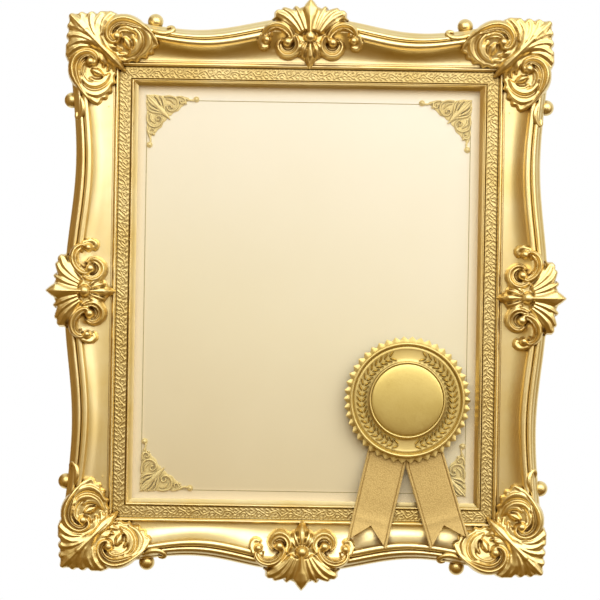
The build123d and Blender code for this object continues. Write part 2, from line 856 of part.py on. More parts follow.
def make_turn_buttons():
    number = 0
    screws = []
    for side in SIDES:
        for along in button_points(side):
            number = number + 1
            pivot = side_point(side, along, rebate_width + button_pivot_inset)
            inward = SIDES[side][1] * -1
            origin = (pivot.X, front_y(-button_lift), pivot.Z)
            plane = Plane(origin=origin, x_dir=inward, z_dir=(0, 1, 0))
            screws.append((pivot.X, pivot.Z, button_lift + button_thickness + button_lift))
            with BuildPart() as button:
                with BuildSketch(plane):
                    with Locations((button_length / 2 - button_tail, 0)):
                        SlotOverall(button_length, button_width)
                    Circle(screw_radius + screw_running_gap, mode=Mode.SUBTRACT)
                extrude(amount=button_thickness)
            keep(button, f"turn_button_{number}")
    with BuildPart() as group:
        for point in screws:
            make_screw(point)
    keep(group, "turn_button_screws")


def make_hangers():
    axis_height = knuckle_lift + knuckle_radius
    bore = ring_wire_radius + ring_running_gap
    screws = []
    for side in ("left", "right"):
        x = strap_x(side)
        foot = hanger_height - strap_length
        plane = Plane(origin=(x, front_y(0), foot), x_dir=(-1, 0, 0), z_dir=(0, 1, 0))
        knuckle_plane = Plane(origin=(x, front_y(-axis_height), hanger_height), z_dir=(1, 0, 0))
        with BuildPart() as strap:
            with BuildSketch(plane):
                with Locations((0, strap_length / 2)):
                    Rectangle(strap_width, strap_length)
                with Locations((0, strap_screw_edge), (0, strap_screw_edge + strap_screw_spacing)):
                    Circle(screw_radius + screw_running_gap, mode=Mode.SUBTRACT)
            extrude(amount=strap_thickness)
            with BuildSketch(knuckle_plane):
                Circle(knuckle_radius)
            extrude(amount=knuckle_width / 2, both=True)
            with BuildSketch(knuckle_plane):
                Circle(bore)
            extrude(amount=strap_width, both=True, mode=Mode.SUBTRACT)
            relief = (strap_width - knuckle_width) / 2
            with BuildSketch(plane):
                for sign in (1, -1):
                    with Locations((sign * (strap_width - relief) / 2, strap_length)):
                        Rectangle(relief, 2 * (ring_corner + ring_wire_radius))
            extrude(amount=strap_thickness, mode=Mode.SUBTRACT)
        keep(strap, f"hanger_strap_{side}")
        ring_plane = Plane(origin=(x, front_y(-axis_height), hanger_height), x_dir=(-1, 0, 0), z_dir=(0, 1, 0))
        with BuildPart() as ring:
            with BuildSketch(ring_plane, mode=Mode.PRIVATE) as loop:
                with Locations((0, ring_rise / 2)):
                    RectangleRounded(ring_width, ring_rise, ring_corner)
            path = loop.sketch.face().outer_wire()
            tube_along(path, ring_wire_radius)
        keep(ring, f"hanger_ring_{side}")
        for z in strap_screw_heights():
            screws.append((x, z, strap_thickness))
    with BuildPart() as group:
        for point in screws:
            make_screw(point)
    keep(group, "hanger_screws")


def make_nails():
    with BuildPart() as nails:
        for corner, out in nail_places():
            extrude(nail_sketch(corner, out, 0), amount=nail_depth)
    keep(nails, "corner_nails")


def make_pearls():
    with BuildPart() as pearls:
        for side in SIDES:
            with Locations(*pearl_points(side)):
                Sphere(pearl_radius)
    keep(pearls, "edge_pearls")


os.makedirs("parts", exist_ok=True)
corner = corner_master()
crest = crest_master()
for name in CORNERS:
    set_copy(corner, corner_plane(name, pocket_floor), f"corner_ornament_{name}")
    make_filigree(name)
for name in SIDES:
    set_copy(crest, crest_plane(name, pocket_floor), f"crest_{name}")
    make_rail(name)
    make_frieze(name)
make_pearls()
make_pack()
make_rosette()
make_ribbon("ribbon_left", ribbon_left_tilt, -ribbon_left_shift)
make_ribbon("ribbon_right", ribbon_right_tilt, ribbon_right_shift)
make_nails()
make_bumpers()
make_turn_buttons()
make_hangers()
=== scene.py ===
import math
from types import SimpleNamespace

import bpy
import numpy as np
from bpy.props import FloatProperty, FloatVectorProperty, IntProperty, PointerProperty
from mathutils import Matrix, Vector


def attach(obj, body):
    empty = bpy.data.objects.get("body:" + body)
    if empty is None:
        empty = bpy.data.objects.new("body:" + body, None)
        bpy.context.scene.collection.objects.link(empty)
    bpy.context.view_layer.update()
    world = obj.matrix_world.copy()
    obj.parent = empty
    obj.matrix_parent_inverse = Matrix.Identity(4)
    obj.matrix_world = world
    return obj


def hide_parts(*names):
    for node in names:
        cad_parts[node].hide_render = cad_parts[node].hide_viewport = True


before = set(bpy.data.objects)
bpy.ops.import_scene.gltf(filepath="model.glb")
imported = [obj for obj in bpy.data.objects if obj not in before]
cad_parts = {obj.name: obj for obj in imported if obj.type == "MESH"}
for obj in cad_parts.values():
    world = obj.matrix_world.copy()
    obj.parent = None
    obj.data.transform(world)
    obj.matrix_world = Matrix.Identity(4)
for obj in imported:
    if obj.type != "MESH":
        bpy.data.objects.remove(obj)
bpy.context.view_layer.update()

bl_info = {
    "name": "Gilded certificate frame",
    "version": (1, 0, 0),
    "blender": (4, 5, 0),
    "location": "View3D > Sidebar > Frame",
    "description": "Dresses a swept gilded certificate frame with ornaments, a rosette and ribbons",
    "category": "Object",
}

BODY = "frame"
SIDES = ("top", "right", "bottom", "left")
# Each corner's place (right, up), and the direction that a top left piece's own x takes there.
CORNERS = {
    "top_left": ((-1, 1), (1, 0)), "top_right": ((1, 1), (0, -1)),
    "bottom_right": ((1, -1), (-1, 0)), "bottom_left": ((-1, -1), (0, 1)),
}
# Height of a relief where there is no material.
NOTHING = -99.0
# Heights of the cast ornaments above the rails' back: low bed, cut-off level and flat back, in millimetres.
CAST_BED, CAST_CUT, CAST_BACK = 16.0, 13.0, 12.0
# The frieze flat, in millimetres from the sight edge.
FRIEZE_INNER, FRIEZE_OUTER = 4.8, 13.4


# Units, colours and nodes
def mm(value):
    """Millimetres to metres."""
    return value / 1000.0


def linear(colour):
    """An sRGB hex colour, or one of the scene's own, as linear red, green, blue and alpha."""
    if not isinstance(colour, str):
        return [*colour, 1.0]
    channels = [int(colour[i:i + 2], 16) / 255 for i in (1, 3, 5)]
    return [c / 12.92 if c <= 0.04045 else ((c + 0.055) / 1.055) ** 2.4 for c in channels] + [1.0]


def add_node(material, kind, links=(), values=(), stops=(), **settings):
    """Add a node with its settings, socket values, ramp stops and links."""
    tree = material.node_tree
    made = tree.nodes.new(kind)
    for key, value in settings.items():
        setattr(made, key, value)
    for socket, value in values:
        made.inputs[socket].default_value = value
    for index, (place, colour) in enumerate(stops):
        ramp = made.color_ramp.elements
        stop = ramp[index] if index < 2 else ramp.new(place)
        stop.position = place
        stop.color = colour
    for socket, source in links:
        tree.links.new(source, made.inputs[socket])
    return made


def new_material(name, **sockets):
    """A material with one principled shader, and its coordinates in object space."""
    material = bpy.data.materials.new(name)
    material.use_nodes = True
    shader = material.node_tree.nodes["Principled BSDF"]
    for socket, value in sockets.items():
        shader.inputs[socket.replace("_", " ")].default_value = value
    place = add_node(material, "ShaderNodeTexCoord")
    return material, shader, place.outputs["Object"]


def join(material, socket_name, shader, source):
    """Link an output to a socket of the shader."""
    material.node_tree.links.new(source, shader.inputs[socket_name])


# Materials
def gold_leaf(name, light, deep, painted_shade_colour, rough_low, rough_high, grain_mm, grain_depth, shade_reach_mm=4.0,
              metallic=1.0, alone=False, hollow=(0.10, 0.64)):
    """Gold leaf laid over gesso and burnished: broad soft highlights, and thin leaf that lets the warm bole
    through in patches. Every hollow is darkened towards a brown painted shade, wherever ambient occlusion
    finds it."""
    material, shader, place = new_material(name, Metallic=metallic)
    patches = add_node(
        material, "ShaderNodeTexNoise", (("Vector", place),),
        (("Scale", 1 / mm(30.0)), ("Detail", 3.0)),
    )
    leaf_tone = add_node(
        material, "ShaderNodeValToRGB", (("Fac", patches.outputs["Fac"]),),
        stops=((0.30, linear(deep)), (0.70, linear(light))),
    )
    # Painted shade: ambient occlusion mixes the painted shade colour into the leaf in the hollows, where
    # shade falls.
    shade = add_node(
        material, "ShaderNodeAmbientOcclusion", values=(("Distance", mm(shade_reach_mm)),), samples=8,
        only_local=alone,
    )
    painted_shade = add_node(
        material, "ShaderNodeValToRGB", (("Fac", shade.outputs["AO"]),),
        stops=((hollow[0], (1, 1, 1, 1)), (hollow[1], (0, 0, 0, 1))),
    )
    colour = add_node(
        material, "ShaderNodeMix",
        (("Factor", painted_shade.outputs["Color"]), ("A", leaf_tone.outputs["Color"])),
        data_type="RGBA",
    )
    colour.inputs["B"].default_value = linear(painted_shade_colour)
    join(material, "Base Color", shader, colour.outputs["Result"])
    fine = add_node(
        material, "ShaderNodeTexNoise", (("Vector", place),),
        (("Scale", 1 / mm(grain_mm)), ("Detail", 4.0)),
    )
    rough = add_node(
        material, "ShaderNodeMapRange", (("Value", fine.outputs["Fac"]),),
        (("From Min", 0.3), ("From Max", 0.7), ("To Min", rough_low), ("To Max", rough_high)),
    )
    join(material, "Roughness", shader, rough.outputs["Result"])
    bump = add_node(
        material, "ShaderNodeBump", (("Height", fine.outputs["Fac"]),),
        (("Strength", 0.25), ("Distance", mm(grain_depth)))
    )
    join(material, "Normal", shader, bump.outputs["Normal"])
    return material


def certificate_paper():
    """Cream laid paper: matt, slightly cloudy, with faint laid lines; a painted light that is brightest at
    the top right and deepens downwards, and a painted warm reflection near the lip.
    """
    material, shader, place = new_material("cream laid paper", Roughness=0.75)
    shader.inputs["Specular IOR Level"].default_value = 0.2
    # Painted light: the tone falls from the top right to the bottom left as the lamp's light does; the noise
    # clouds that shift it are the paper's own.
    axes = add_node(material, "ShaderNodeSeparateXYZ", (("Vector", place),))
    lean = add_node(
        material, "ShaderNodeMath", (("Value", axes.outputs["X"]),), operation="MULTIPLY"
    )
    lean.inputs[1].default_value = 0.25
    tilted = add_node(
        material, "ShaderNodeMath", ((0, axes.outputs["Z"]), (1, lean.outputs["Value"])), operation="ADD"
    )
    clouds = add_node(
        material, "ShaderNodeTexNoise", (("Vector", place),),
        (("Scale", 1 / mm(60.0)), ("Detail", 3.0)),
    )
    cloudy = add_node(
        material, "ShaderNodeMath", ((0, clouds.outputs["Fac"]), (2, tilted.outputs["Value"])),
        operation="MULTIPLY_ADD"
    )
    cloudy.inputs[1].default_value = mm(40.0)
    height = add_node(
        material, "ShaderNodeMapRange", (("Value", cloudy.outputs["Value"]),),
        (("From Min", mm(-165.0)), ("From Max", mm(185.0))),
    )
    tone = add_node(
        material, "ShaderNodeValToRGB", (("Fac", height.outputs["Result"]),),
        stops=((0.0, linear("#D9CAA3")), (0.45, linear("#EEE6C8")), (1.0, linear("#FDFAEE"))),
    )
    # Painted reflection: within 9 mm of the sight edge the paper warms towards #FFEFC9, standing in for gold
    # light thrown off the lip into its shade.
    reach = add_node(material, "ShaderNodeVectorMath", ((0, place),), operation="ABSOLUTE")
    far = add_node(material, "ShaderNodeSeparateXYZ", (("Vector", reach.outputs["Vector"]),))
    past_side = add_node(
        material, "ShaderNodeMath", ((0, far.outputs["X"]),), ((1, mm(sizes().sight_width / 2)),),
        operation="SUBTRACT"
    )
    past_end = add_node(
        material, "ShaderNodeMath", ((0, far.outputs["Z"]),), ((1, mm(sizes().sight_height / 2)),),
        operation="SUBTRACT"
    )
    past = add_node(
        material, "ShaderNodeMath", ((0, past_side.outputs["Value"]), (1, past_end.outputs["Value"])),
        operation="MAXIMUM",
    )
    painted_lip_glow = add_node(
        material, "ShaderNodeMapRange", (("Value", past.outputs["Value"]),),
        (("From Min", mm(-9.0)), ("From Max", mm(-1.0)), ("To Max", 0.9)),
    )
    colour = add_node(
        material, "ShaderNodeMix", (("Factor", painted_lip_glow.outputs["Result"]), ("A", tone.outputs["Color"])),
        data_type="RGBA"
    )
    colour.inputs["B"].default_value = linear("#FFEFC9")
    join(material, "Base Color", shader, colour.outputs["Result"])
    laid = add_node(
        material, "ShaderNodeTexWave", (("Vector", place),),
        (("Scale", 0.35 / mm(1.5)), ("Distortion", 1.5)), bands_direction="Z",
    )
    bump = add_node(
        material, "ShaderNodeBump", (("Height", laid.outputs["Fac"]),),
        (("Strength", 0.12), ("Distance", mm(0.05))),
    )
    join(material, "Normal", shader, bump.outputs["Normal"])
    return material


def ribbon_cloth():
    """Metallic ribbon with a pebbled grain: satin gold with a broken sparkle."""
    material, shader, place = new_material("grained gold ribbon", Metallic=0.6)
    pebble = add_node(
        material, "ShaderNodeTexVoronoi", (("Vector", place),), (("Scale", 1.0 / mm(0.9)),),
    )
    tone = add_node(
        material, "ShaderNodeValToRGB", (("Fac", pebble.outputs["Distance"]),),
        stops=((0.1, linear(colours().ribbon_gold)), (0.7, linear("#B4985C"))),
    )
    join(material, "Base Color", shader, tone.outputs["Color"])
    shader.inputs["Roughness"].default_value = 0.5
    bump = add_node(
        material, "ShaderNodeBump", (("Height", pebble.outputs["Distance"]),),
        (("Strength", 0.5), ("Distance", mm(-0.18))),
    )
    join(material, "Normal", shader, bump.outputs["Normal"])
    return material


def plain_finish(name, low, high, roughness, grain_mm, grain_depth, metallic=0.0, stretch=(1, 1, 1)):
    """A finish with a two-tone mottle and a fine grain, drawn out along the wood: boards, pine, rubber and
    plated steel."""
    material, shader, place = new_material(name, Metallic=metallic, Roughness=roughness)
    drawn = add_node(material, "ShaderNodeMapping", (("Vector", place),), (("Scale", stretch),))
    place = drawn.outputs["Vector"]
    mottle = add_node(
        material, "ShaderNodeTexNoise", (("Vector", place),),
        (("Scale", 1 / mm(grain_mm * 3)), ("Detail", 3.0)),
    )
    tone = add_node(
        material, "ShaderNodeValToRGB", (("Fac", mottle.outputs["Fac"]),),
        stops=((0.35, linear(low)), (0.65, linear(high))),
    )
    join(material, "Base Color", shader, tone.outputs["Color"])
    grain = add_node(
        material, "ShaderNodeTexNoise", (("Vector", place),),
        (("Scale", 1 / mm(grain_mm)), ("Detail", 5.0)),
    )
    bump = add_node(
        material, "ShaderNodeBump", (("Height", grain.outputs["Fac"]),),
        (("Strength", 0.3), ("Distance", mm(grain_depth)))
    )
    join(material, "Normal", shader, bump.outputs["Normal"])
    return material


def clear_pane():
    """Anti-reflection pane: almost nothing but a faint gloss."""
    material, shader, place = new_material("clear anti-reflection pane", Roughness=0.08, Alpha=0.03)
    haze = add_node(
        material, "ShaderNodeTexNoise", (("Vector", place),),
        (("Scale", 1 / mm(90.0)), ("Detail", 3.0)),
    )
    tone = add_node(
        material, "ShaderNodeValToRGB", (("Fac", haze.outputs["Fac"]),),
        stops=((0.3, linear("#F4F8F6")), (0.7, linear("#FFFFFF"))),
    )
    join(material, "Base Color", shader, tone.outputs["Color"])
    return material


# Building and placing meshes
def start_fresh():
    """Leave edit mode and deselect everything."""
    if bpy.context.object and bpy.context.object.mode != "OBJECT":
        bpy.ops.object.mode_set(mode="OBJECT")
    bpy.ops.object.select_all(action="DESELECT")


def grid_piece(name, x, y, z):
    """A grid of faces through rows and columns of points, in millimetres."""
    start_fresh()
    rows, columns = x.shape
    bpy.ops.mesh.primitive_grid_add(x_subdivisions=columns - 1, y_subdivisions=rows - 1, size=1)
    piece = bpy.context.object
    piece.name = name
    points = np.stack([x, y, z], axis=-1).reshape(-1, 3) / 1000.0
    piece.data.vertices.foreach_set("co", points.ravel())
    piece.data.update()
    return piece


def tidy_mesh(angle=40.0):
    """Merge the active piece's doubles, turn its faces outwards and shade it smooth up to an angle."""
    bpy.ops.object.mode_set(mode="EDIT")
    bpy.ops.mesh.select_all(action="SELECT")
    bpy.ops.mesh.remove_doubles(threshold=mm(0.002))
    bpy.ops.mesh.normals_make_consistent(inside=False)
    bpy.ops.object.mode_set(mode="OBJECT")
    bpy.ops.object.shade_smooth_by_angle(angle=math.radians(angle))


def relief(name, x, y, z, back, base=None):
    """A casting with a flat back: a raised grid, cut off below its base and closed behind."""
    piece = grid_piece(name, x, y, z)
    bpy.ops.object.mode_set(mode="EDIT")
    bpy.ops.mesh.select_all(action="SELECT")
    if base is not None:
        bpy.ops.mesh.bisect(plane_co=(0, 0, mm(base)), plane_no=(0, 0, 1), clear_inner=True)
    bpy.ops.mesh.select_all(action="DESELECT")
    bpy.ops.mesh.select_mode(type="EDGE")
    bpy.ops.mesh.select_non_manifold()
    bpy.ops.mesh.extrude_edges_move()
    bpy.ops.object.mode_set(mode="OBJECT")
    for vertex in piece.data.vertices:
        if vertex.select:
            vertex.co.z = mm(back)
    bpy.ops.object.mode_set(mode="EDIT")
    bpy.ops.mesh.fill()
    bpy.ops.mesh.select_mode(type="VERT")
    tidy_mesh(60.0)
    return piece


def lathe(name, profile, steps=128):
    """A turned piece: a profile of radius and height spun about the height axis, in millimetres."""
    start_fresh()
    mesh = bpy.data.meshes.new(name)
    points = [(mm(radius), 0, mm(height)) for radius, height in profile]
    mesh.from_pydata(points, [(i, i + 1) for i in range(len(points) - 1)], [])
    piece = bpy.data.objects.new(name, mesh)
    bpy.context.collection.objects.link(piece)
    bpy.context.view_layer.objects.active = piece
    piece.select_set(True)
    bpy.ops.object.mode_set(mode="EDIT")
    bpy.ops.mesh.select_all(action="SELECT")
    bpy.ops.mesh.spin(steps=steps, angle=2 * math.pi, center=(0, 0, 0), axis=(0, 0, 1))
    tidy_mesh(35.0)
    return piece


def set_place(piece, origin, right, up):
    """Move a piece's mesh from its own plane (x right, y up, z towards the viewer) into the frame."""
    right = Vector(right).normalized()
    up = Vector(up).normalized()
    turn = Matrix((right, up, right.cross(up))).transposed().to_4x4()
    piece.data.transform(Matrix.Translation(Vector(origin)) @ turn)
    piece.data.update()


def front(x, height, z):
    """A point at a height above the rails' back."""
    return Vector((mm(x), -mm(sizes().bumper + height), mm(z)))


def dress(piece, material, slot, *nodes):
    """Give a piece its finish and its place on the frame, and hide the solids that it stands for."""
    piece.data.materials.clear()
    piece.data.materials.append(material)
    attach(piece, BODY)
    if nodes:
        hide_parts(*nodes)


def copy_of(piece, name):
    """A copy of a piece, with a mesh of its own."""
    made = piece.copy()
    made.data = piece.data.copy()
    made.name = name
    bpy.context.collection.objects.link(made)
    return made


def paint(name, material):
    """Give a solid of the frame its finish."""
    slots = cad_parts[name].data.materials
    slots.clear()
    slots.append(material)


def set_corners(master, prefix, half_x, height, above, below, material, slot, node):
    """Copy a top left piece to the four corners, each turned to face its own, and drop the master."""
    for corner, ((sign_x, sign_z), (right_x, right_z)) in CORNERS.items():
        piece = copy_of(master, f"{prefix}_{corner}")
        place = front(sign_x * half_x, height, above if sign_z > 0 else -below)
        set_place(piece, place, (right_x, 0, right_z), (-right_z, 0, right_x))
        dress(piece, material, slot, f"{node}_{corner}")
    bpy.data.objects.remove(master)


def merged(name, pieces):
    """Join several meshes into one piece."""
    start_fresh()
    for piece in pieces:
        piece.select_set(True)
    bpy.context.view_layer.objects.active = pieces[0]
    bpy.ops.object.join()
    bpy.context.object.name = name
    return bpy.context.object


# Relief shapes: each gives a height over a grid, or nothing
def smooth_path(points, steps=10):
    """A smooth line through a few chosen points."""
    points = np.array(points, float)
    padded = np.vstack([2 * points[0] - points[1], points, 2 * points[-1] - points[-2]])
    line = []
    for i in range(1, len(padded) - 2):
        p0, p1, p2, p3 = padded[i - 1:i + 3]
        for t in np.arange(steps) / steps:
            line.append(0.5 * (
                2 * p1 + (p2 - p0) * t + (2 * p0 - 5 * p1 + 4 * p2 - p3) * t * t
                + (3 * p1 - p0 - 3 * p2 + p3) * t ** 3
            ))
    line.append(points[-1])
    return np.array(line)


def near_path(x, y, line):
    """Distance to a line, share of the way along it, and the side, at every grid point."""
    lengths = np.hypot(*np.diff(line, axis=0).T)
    starts = np.concatenate([[0], np.cumsum(lengths)])
    distance = np.full(x.shape, np.inf)
    share = np.zeros(x.shape)
    side = np.ones(x.shape)
    for (x0, y0), (x1, y1), start, length in zip(line, line[1:], starts, lengths):
        dx, dy = x1 - x0, y1 - y0
        t = np.clip(((x - x0) * dx + (y - y0) * dy) / max(length * length, 1e-9), 0, 1)
        gx, gy = x - x0 - t * dx, y - y0 - t * dy
        gap = np.hypot(gx, gy)
        closer = gap < distance
        distance = np.where(closer, gap, distance)
        share = np.where(closer, (start + t * length) / starts[-1], share)
        side = np.where(closer, np.sign(dx * gy - dy * gx), side)
    return distance, share, side


def along(share, values):
    """A value that changes evenly from one given value to the next along a line."""
    return np.interp(share, np.linspace(0, 1, len(values)), values)


def band(x, y, points, widths, levels, crown, rim=0.0, outer=1):
    """A scroll band that follows a line: lightly crowned, with a raised rim along its outer side."""
    distance, share, side = near_path(x, y, smooth_path(points))
    width = along(share, widths)
    across = np.clip(distance / width, 0, 1)
    height = along(share, levels) + crown * np.sqrt(1 - across ** 2)
    height = height + rim * np.exp(-((across * side * outer - 0.62) / 0.26) ** 2)
    return np.where(distance < width, height, NOTHING)


def channel(x, y, points, widths, levels, hollow, outer=1):
    """A scroll with a broad rounded rim on its outer side and a narrow trench along its inner side."""
    distance, share, side = near_path(x, y, smooth_path(points))
    width = along(share, widths)
    across = np.clip(distance / width, 0, 1) * side * outer
    height = along(share, levels) - hollow * width * np.exp(-((across + 0.42) / 0.36) ** 2)
    height = height + 1.1 * np.exp(-((across - 0.2) / 0.45) ** 2)
    height = height - 2.2 * np.clip((across - 0.2) / 0.8, 0, 1) ** 1.5
    height = height - 1.0 * np.clip((-across - 0.86) / 0.14, 0, 1) ** 2
    return np.where(distance < width, height, NOTHING)


def leaf(x, y, points, widths, levels, crown, veins=0, vein_depth=0.0, shape=2.0):
    """A leaf that follows a line: domed across, or keeled where the shape is 1, with ridges along it."""
    distance, share, _ = near_path(x, y, smooth_path(points))
    width = along(share, widths)
    across = np.clip(distance / width, 0, 1)
    height = along(share, levels) + crown * (1 - across ** shape) ** 0.6
    height = height + vein_depth * (np.cos(math.pi * veins * across) - 1) * (1 - across ** 4)
    return np.where(distance < width, height, NOTHING)


def ball(x, y, centre, radius, level):
    """The upper half of a ball on a plinth."""
    gap = np.hypot(x - centre[0], y - centre[1])
    return np.where(gap < radius, level + np.sqrt(np.clip(radius ** 2 - gap ** 2, 0, None)), NOTHING)


def plate(x, y, outline, level, crown, reach, rim=0.0):
    """A fill with a scalloped or plain outline that rises from its edge."""
    line = np.vstack([outline, outline[:1]])
    distance = near_path(x, y, line)[0]
    inside = np.zeros(x.shape, bool)
    for (x0, y0), (x1, y1) in zip(line, line[1:]):
        if y0 != y1:
            crossing = x0 + (y - y0) * (x1 - x0) / (y1 - y0)
            inside ^= ((y0 > y) != (y1 > y)) & (x < crossing)
    height = level + crown * (1 - np.exp(-distance / reach))
    height = height + rim * np.exp(-((distance - 0.9) / 0.5) ** 2)
    return np.where(inside, height, NOTHING)


def cast(shapes, bed, rounds=2):
    """The highest of several shapes over a bed, softened as a casting is."""
    height = np.maximum.reduce(shapes + [bed])
    solid = height > NOTHING
    for _ in range(rounds):
        total = np.zeros(height.shape)
        count = np.zeros(height.shape)
        for shift_x in (-1, 0, 1):
            for shift_y in (-1, 0, 1):
                near = np.roll(solid, (shift_y, shift_x), (0, 1))
                total += np.where(near, np.roll(height, (shift_y, shift_x), (0, 1)), 0)
                count += near
        height = np.where(solid, total / np.maximum(count, 1), NOTHING)
    return height


def bed_under(shapes, reach, level):
    """A low bed that reaches a few grid steps past the shapes."""
    covered = np.maximum.reduce(shapes) > NOTHING
    grown = covered.copy()
    for _ in range(reach):
        spread = grown.copy()
        for shift, axis in ((1, 0), (-1, 0), (1, 1), (-1, 1)):
            spread |= np.roll(grown, shift, axis)
        grown = spread
    return np.where(grown, level, NOTHING)


def plan_grid(low_x, high_x, low_y, high_y, step):
    """Rows and columns of points over a plan."""
    columns = math.ceil((high_x - low_x) / step - 0.5) + 1
    rows = math.ceil((high_y - low_y) / step - 0.5) + 1
    return np.meshgrid(np.linspace(low_x, high_x, columns), np.linspace(low_y, high_y, rows))


# Sizes and colours that a user would change
class FrameSizes(bpy.types.PropertyGroup):
    """Sizes of the frame, and the camera's distance."""

    sight_width: FloatProperty(
        name="Sight width", description="Visible width of the sheet", default=mm(244.0), unit="LENGTH"
    )
    sight_height: FloatProperty(
        name="Sight height", description="Visible height of the sheet", default=mm(294.8), unit="LENGTH"
    )
    bulge: FloatProperty(
        name="Widest rail", description="Rail width at middle and corners", default=mm(50.5), unit="LENGTH"
    )
    dip_top: FloatProperty(
        name="Narrowest top rail", description="Top and bottom rail at the dip", default=mm(40.0),
        unit="LENGTH"
    )
    dip_side: FloatProperty(
        name="Narrowest side rail", description="Side rail at the dip", default=mm(43.5), unit="LENGTH"
    )
    corner_trim: FloatProperty(
        name="Corner trim", description="Corner cut off behind the leaf fan", default=mm(14.0), unit="LENGTH"
    )
    bumper: FloatProperty(
        name="Bumper", description="Height of the bumpers on the back", default=mm(6.0), unit="LENGTH"
    )
    rebate: FloatProperty(
        name="Rebate depth", description="Depth of the rebate from the back", default=mm(9.4), unit="LENGTH"
    )
    grid_step: FloatProperty(
        name="Relief step", description="Spacing of relief points", default=mm(0.36), unit="LENGTH"
    )
    rosette_x: FloatProperty(
        name="Rosette x", description="Rosette centre to the right", default=mm(73.5), unit="LENGTH"
    )
    rosette_z: FloatProperty(
        name="Rosette z", description="Rosette centre upwards", default=mm(-74.0), unit="LENGTH"
    )
    camera_distance: FloatProperty(
        name="Camera distance", description="From the frame's back plane", default=mm(2000.0), unit="LENGTH"
    )
    ruffle_teeth: IntProperty(name="Ruffle teeth", description="Points round the rosette", default=46)


class FrameColours(bpy.types.PropertyGroup):
    """Main colours of the frame."""

    rail_gold: FloatVectorProperty(
        name="Rail gold", description="Light tone of the leaf on the rails",
        default=linear("#FAEABA")[:3], subtype="COLOR", min=0.0, max=1.0,
    )
    ornament_gold: FloatVectorProperty(
        name="Ornament gold", description="Light tone of the leaf on corners, crests and pearls",
        default=linear("#F4DFA2")[:3], subtype="COLOR", min=0.0, max=1.0,
    )
    ribbon_gold: FloatVectorProperty(
        name="Ribbon gold", description="High points of the ribbons' grain",
        default=linear("#CBB070")[:3], subtype="COLOR", min=0.0, max=1.0,
    )


def sizes():
    """The sizes set in the scene, with lengths in millimetres."""
    group = bpy.context.scene.frame_sizes
    values = {name: getattr(group, name) for name in FrameSizes.__annotations__}
    return SimpleNamespace(**{
        name: round(value * 1000, 4) if isinstance(value, float) else value for name, value in values.items()
    })


def colours():
    """The colours set in the scene."""
    return bpy.context.scene.frame_colours


def side_axes(side):
    """Run along a side, its outward direction, distance to its sight edge, half sight length and dip."""
    s = sizes()
    wide, tall = s.sight_width / 2, s.sight_height / 2
    table = {
        "top": (Vector((1, 0, 0)), Vector((0, 0, 1)), tall, wide, s.dip_top),
        "right": (Vector((0, 0, -1)), Vector((1, 0, 0)), wide, tall, s.dip_side),
        "bottom": (Vector((-1, 0, 0)), Vector((0, 0, -1)), tall, wide, s.dip_top),
        "left": (Vector((0, 0, 1)), Vector((-1, 0, 0)), wide, tall, s.dip_side),
    }
    return table[side]


def rail_width(side, distance_along):
    """Width of a rail at a distance from its middle: widest at the middle and the corners."""
    half_sight, dip = side_axes(side)[3:]
    bulge = sizes().bulge
    turn = 2 * math.pi * distance_along / (half_sight + bulge)
    return (bulge + dip) / 2 + (bulge - dip) / 2 * math.cos(turn)


def arc(start, middle, end, steps):
    """Points on a smooth hump from start to end that passes through middle."""
    t = np.linspace(0, 1, steps + 1)[1:]
    lift = np.array(middle) - (np.array(start) + np.array(end)) / 2
    line = np.outer(1 - t, start) + np.outer(t, end)
    return [tuple(p) for p in line + np.outer(np.sin(math.pi * t) ** 0.8, lift)]


def rail_section(width):
    """Outline of the moulding from its sight edge outwards: x across, y forward from the back."""
    rebate = sizes().rebate
    lip, seat, bead_foot = rebate + 0.6, rebate + 2.8, rebate + 4.4
    cove_low, cove_high = bead_foot + 0.4, bead_foot + 6.4
    cap = cove_high + 0.5
    bead_end, cove_start, cove_end = FRIEZE_OUTER + 3.2, FRIEZE_OUTER + 4.4, width - 12.2
    roll_start, roll_end = cove_end + 4.9, width - 2.2
    points = [(0, rebate), (0, lip), (1.3, lip + 0.9), (2.5, seat - 0.2), (2.7, seat)]
    points += arc((2.7, seat), (3.75, seat + 1.7), (FRIEZE_INNER, seat), 8)
    points += [(FRIEZE_INNER + 0.02, seat - 0.5), (FRIEZE_OUTER, seat - 0.5),
               (FRIEZE_OUTER + 0.02, bead_foot)]
    points += arc((FRIEZE_OUTER, bead_foot), (FRIEZE_OUTER + 1.6, bead_foot + 2.3), (bead_end, bead_foot), 10)
    points += [(bead_end + 0.1, bead_foot - 0.7), (cove_start - 0.2, bead_foot - 0.7), (cove_start, cove_low)]
    for t in np.linspace(0.06, 1, 18):
        points.append((cove_start + (cove_end - cove_start) * t,
                       cove_low + (cove_high - cove_low) * t ** 2.2))
    points += arc((cove_end, cove_high), (cove_end + 0.5, cap + 0.9), (cove_end + 1.0, cap + 1.5), 4)
    points += arc((cove_end + 1.0, cap + 1.5), (cove_end + 2.6, cap + 2.0), (cove_end + 4.2, cap + 1.5), 8)
    points += [(cove_end + 4.7, cap + 0.3)]
    points += [(roll_start, cap - 0.3)]
    points += arc((roll_start, cap - 0.3), ((roll_start + roll_end) / 2 - 0.3, cap + 1.4),
                  (roll_end, cap - 1.6), 12)
    points += arc((roll_end, cap - 1.6), (width - 0.6, cap - 3.2), (width, cap - 6.2), 8)
    points += [(width, 8.0)]
    points += [(width - 2.0, 0), (6.0, 0), (6.0, rebate)]
    return points


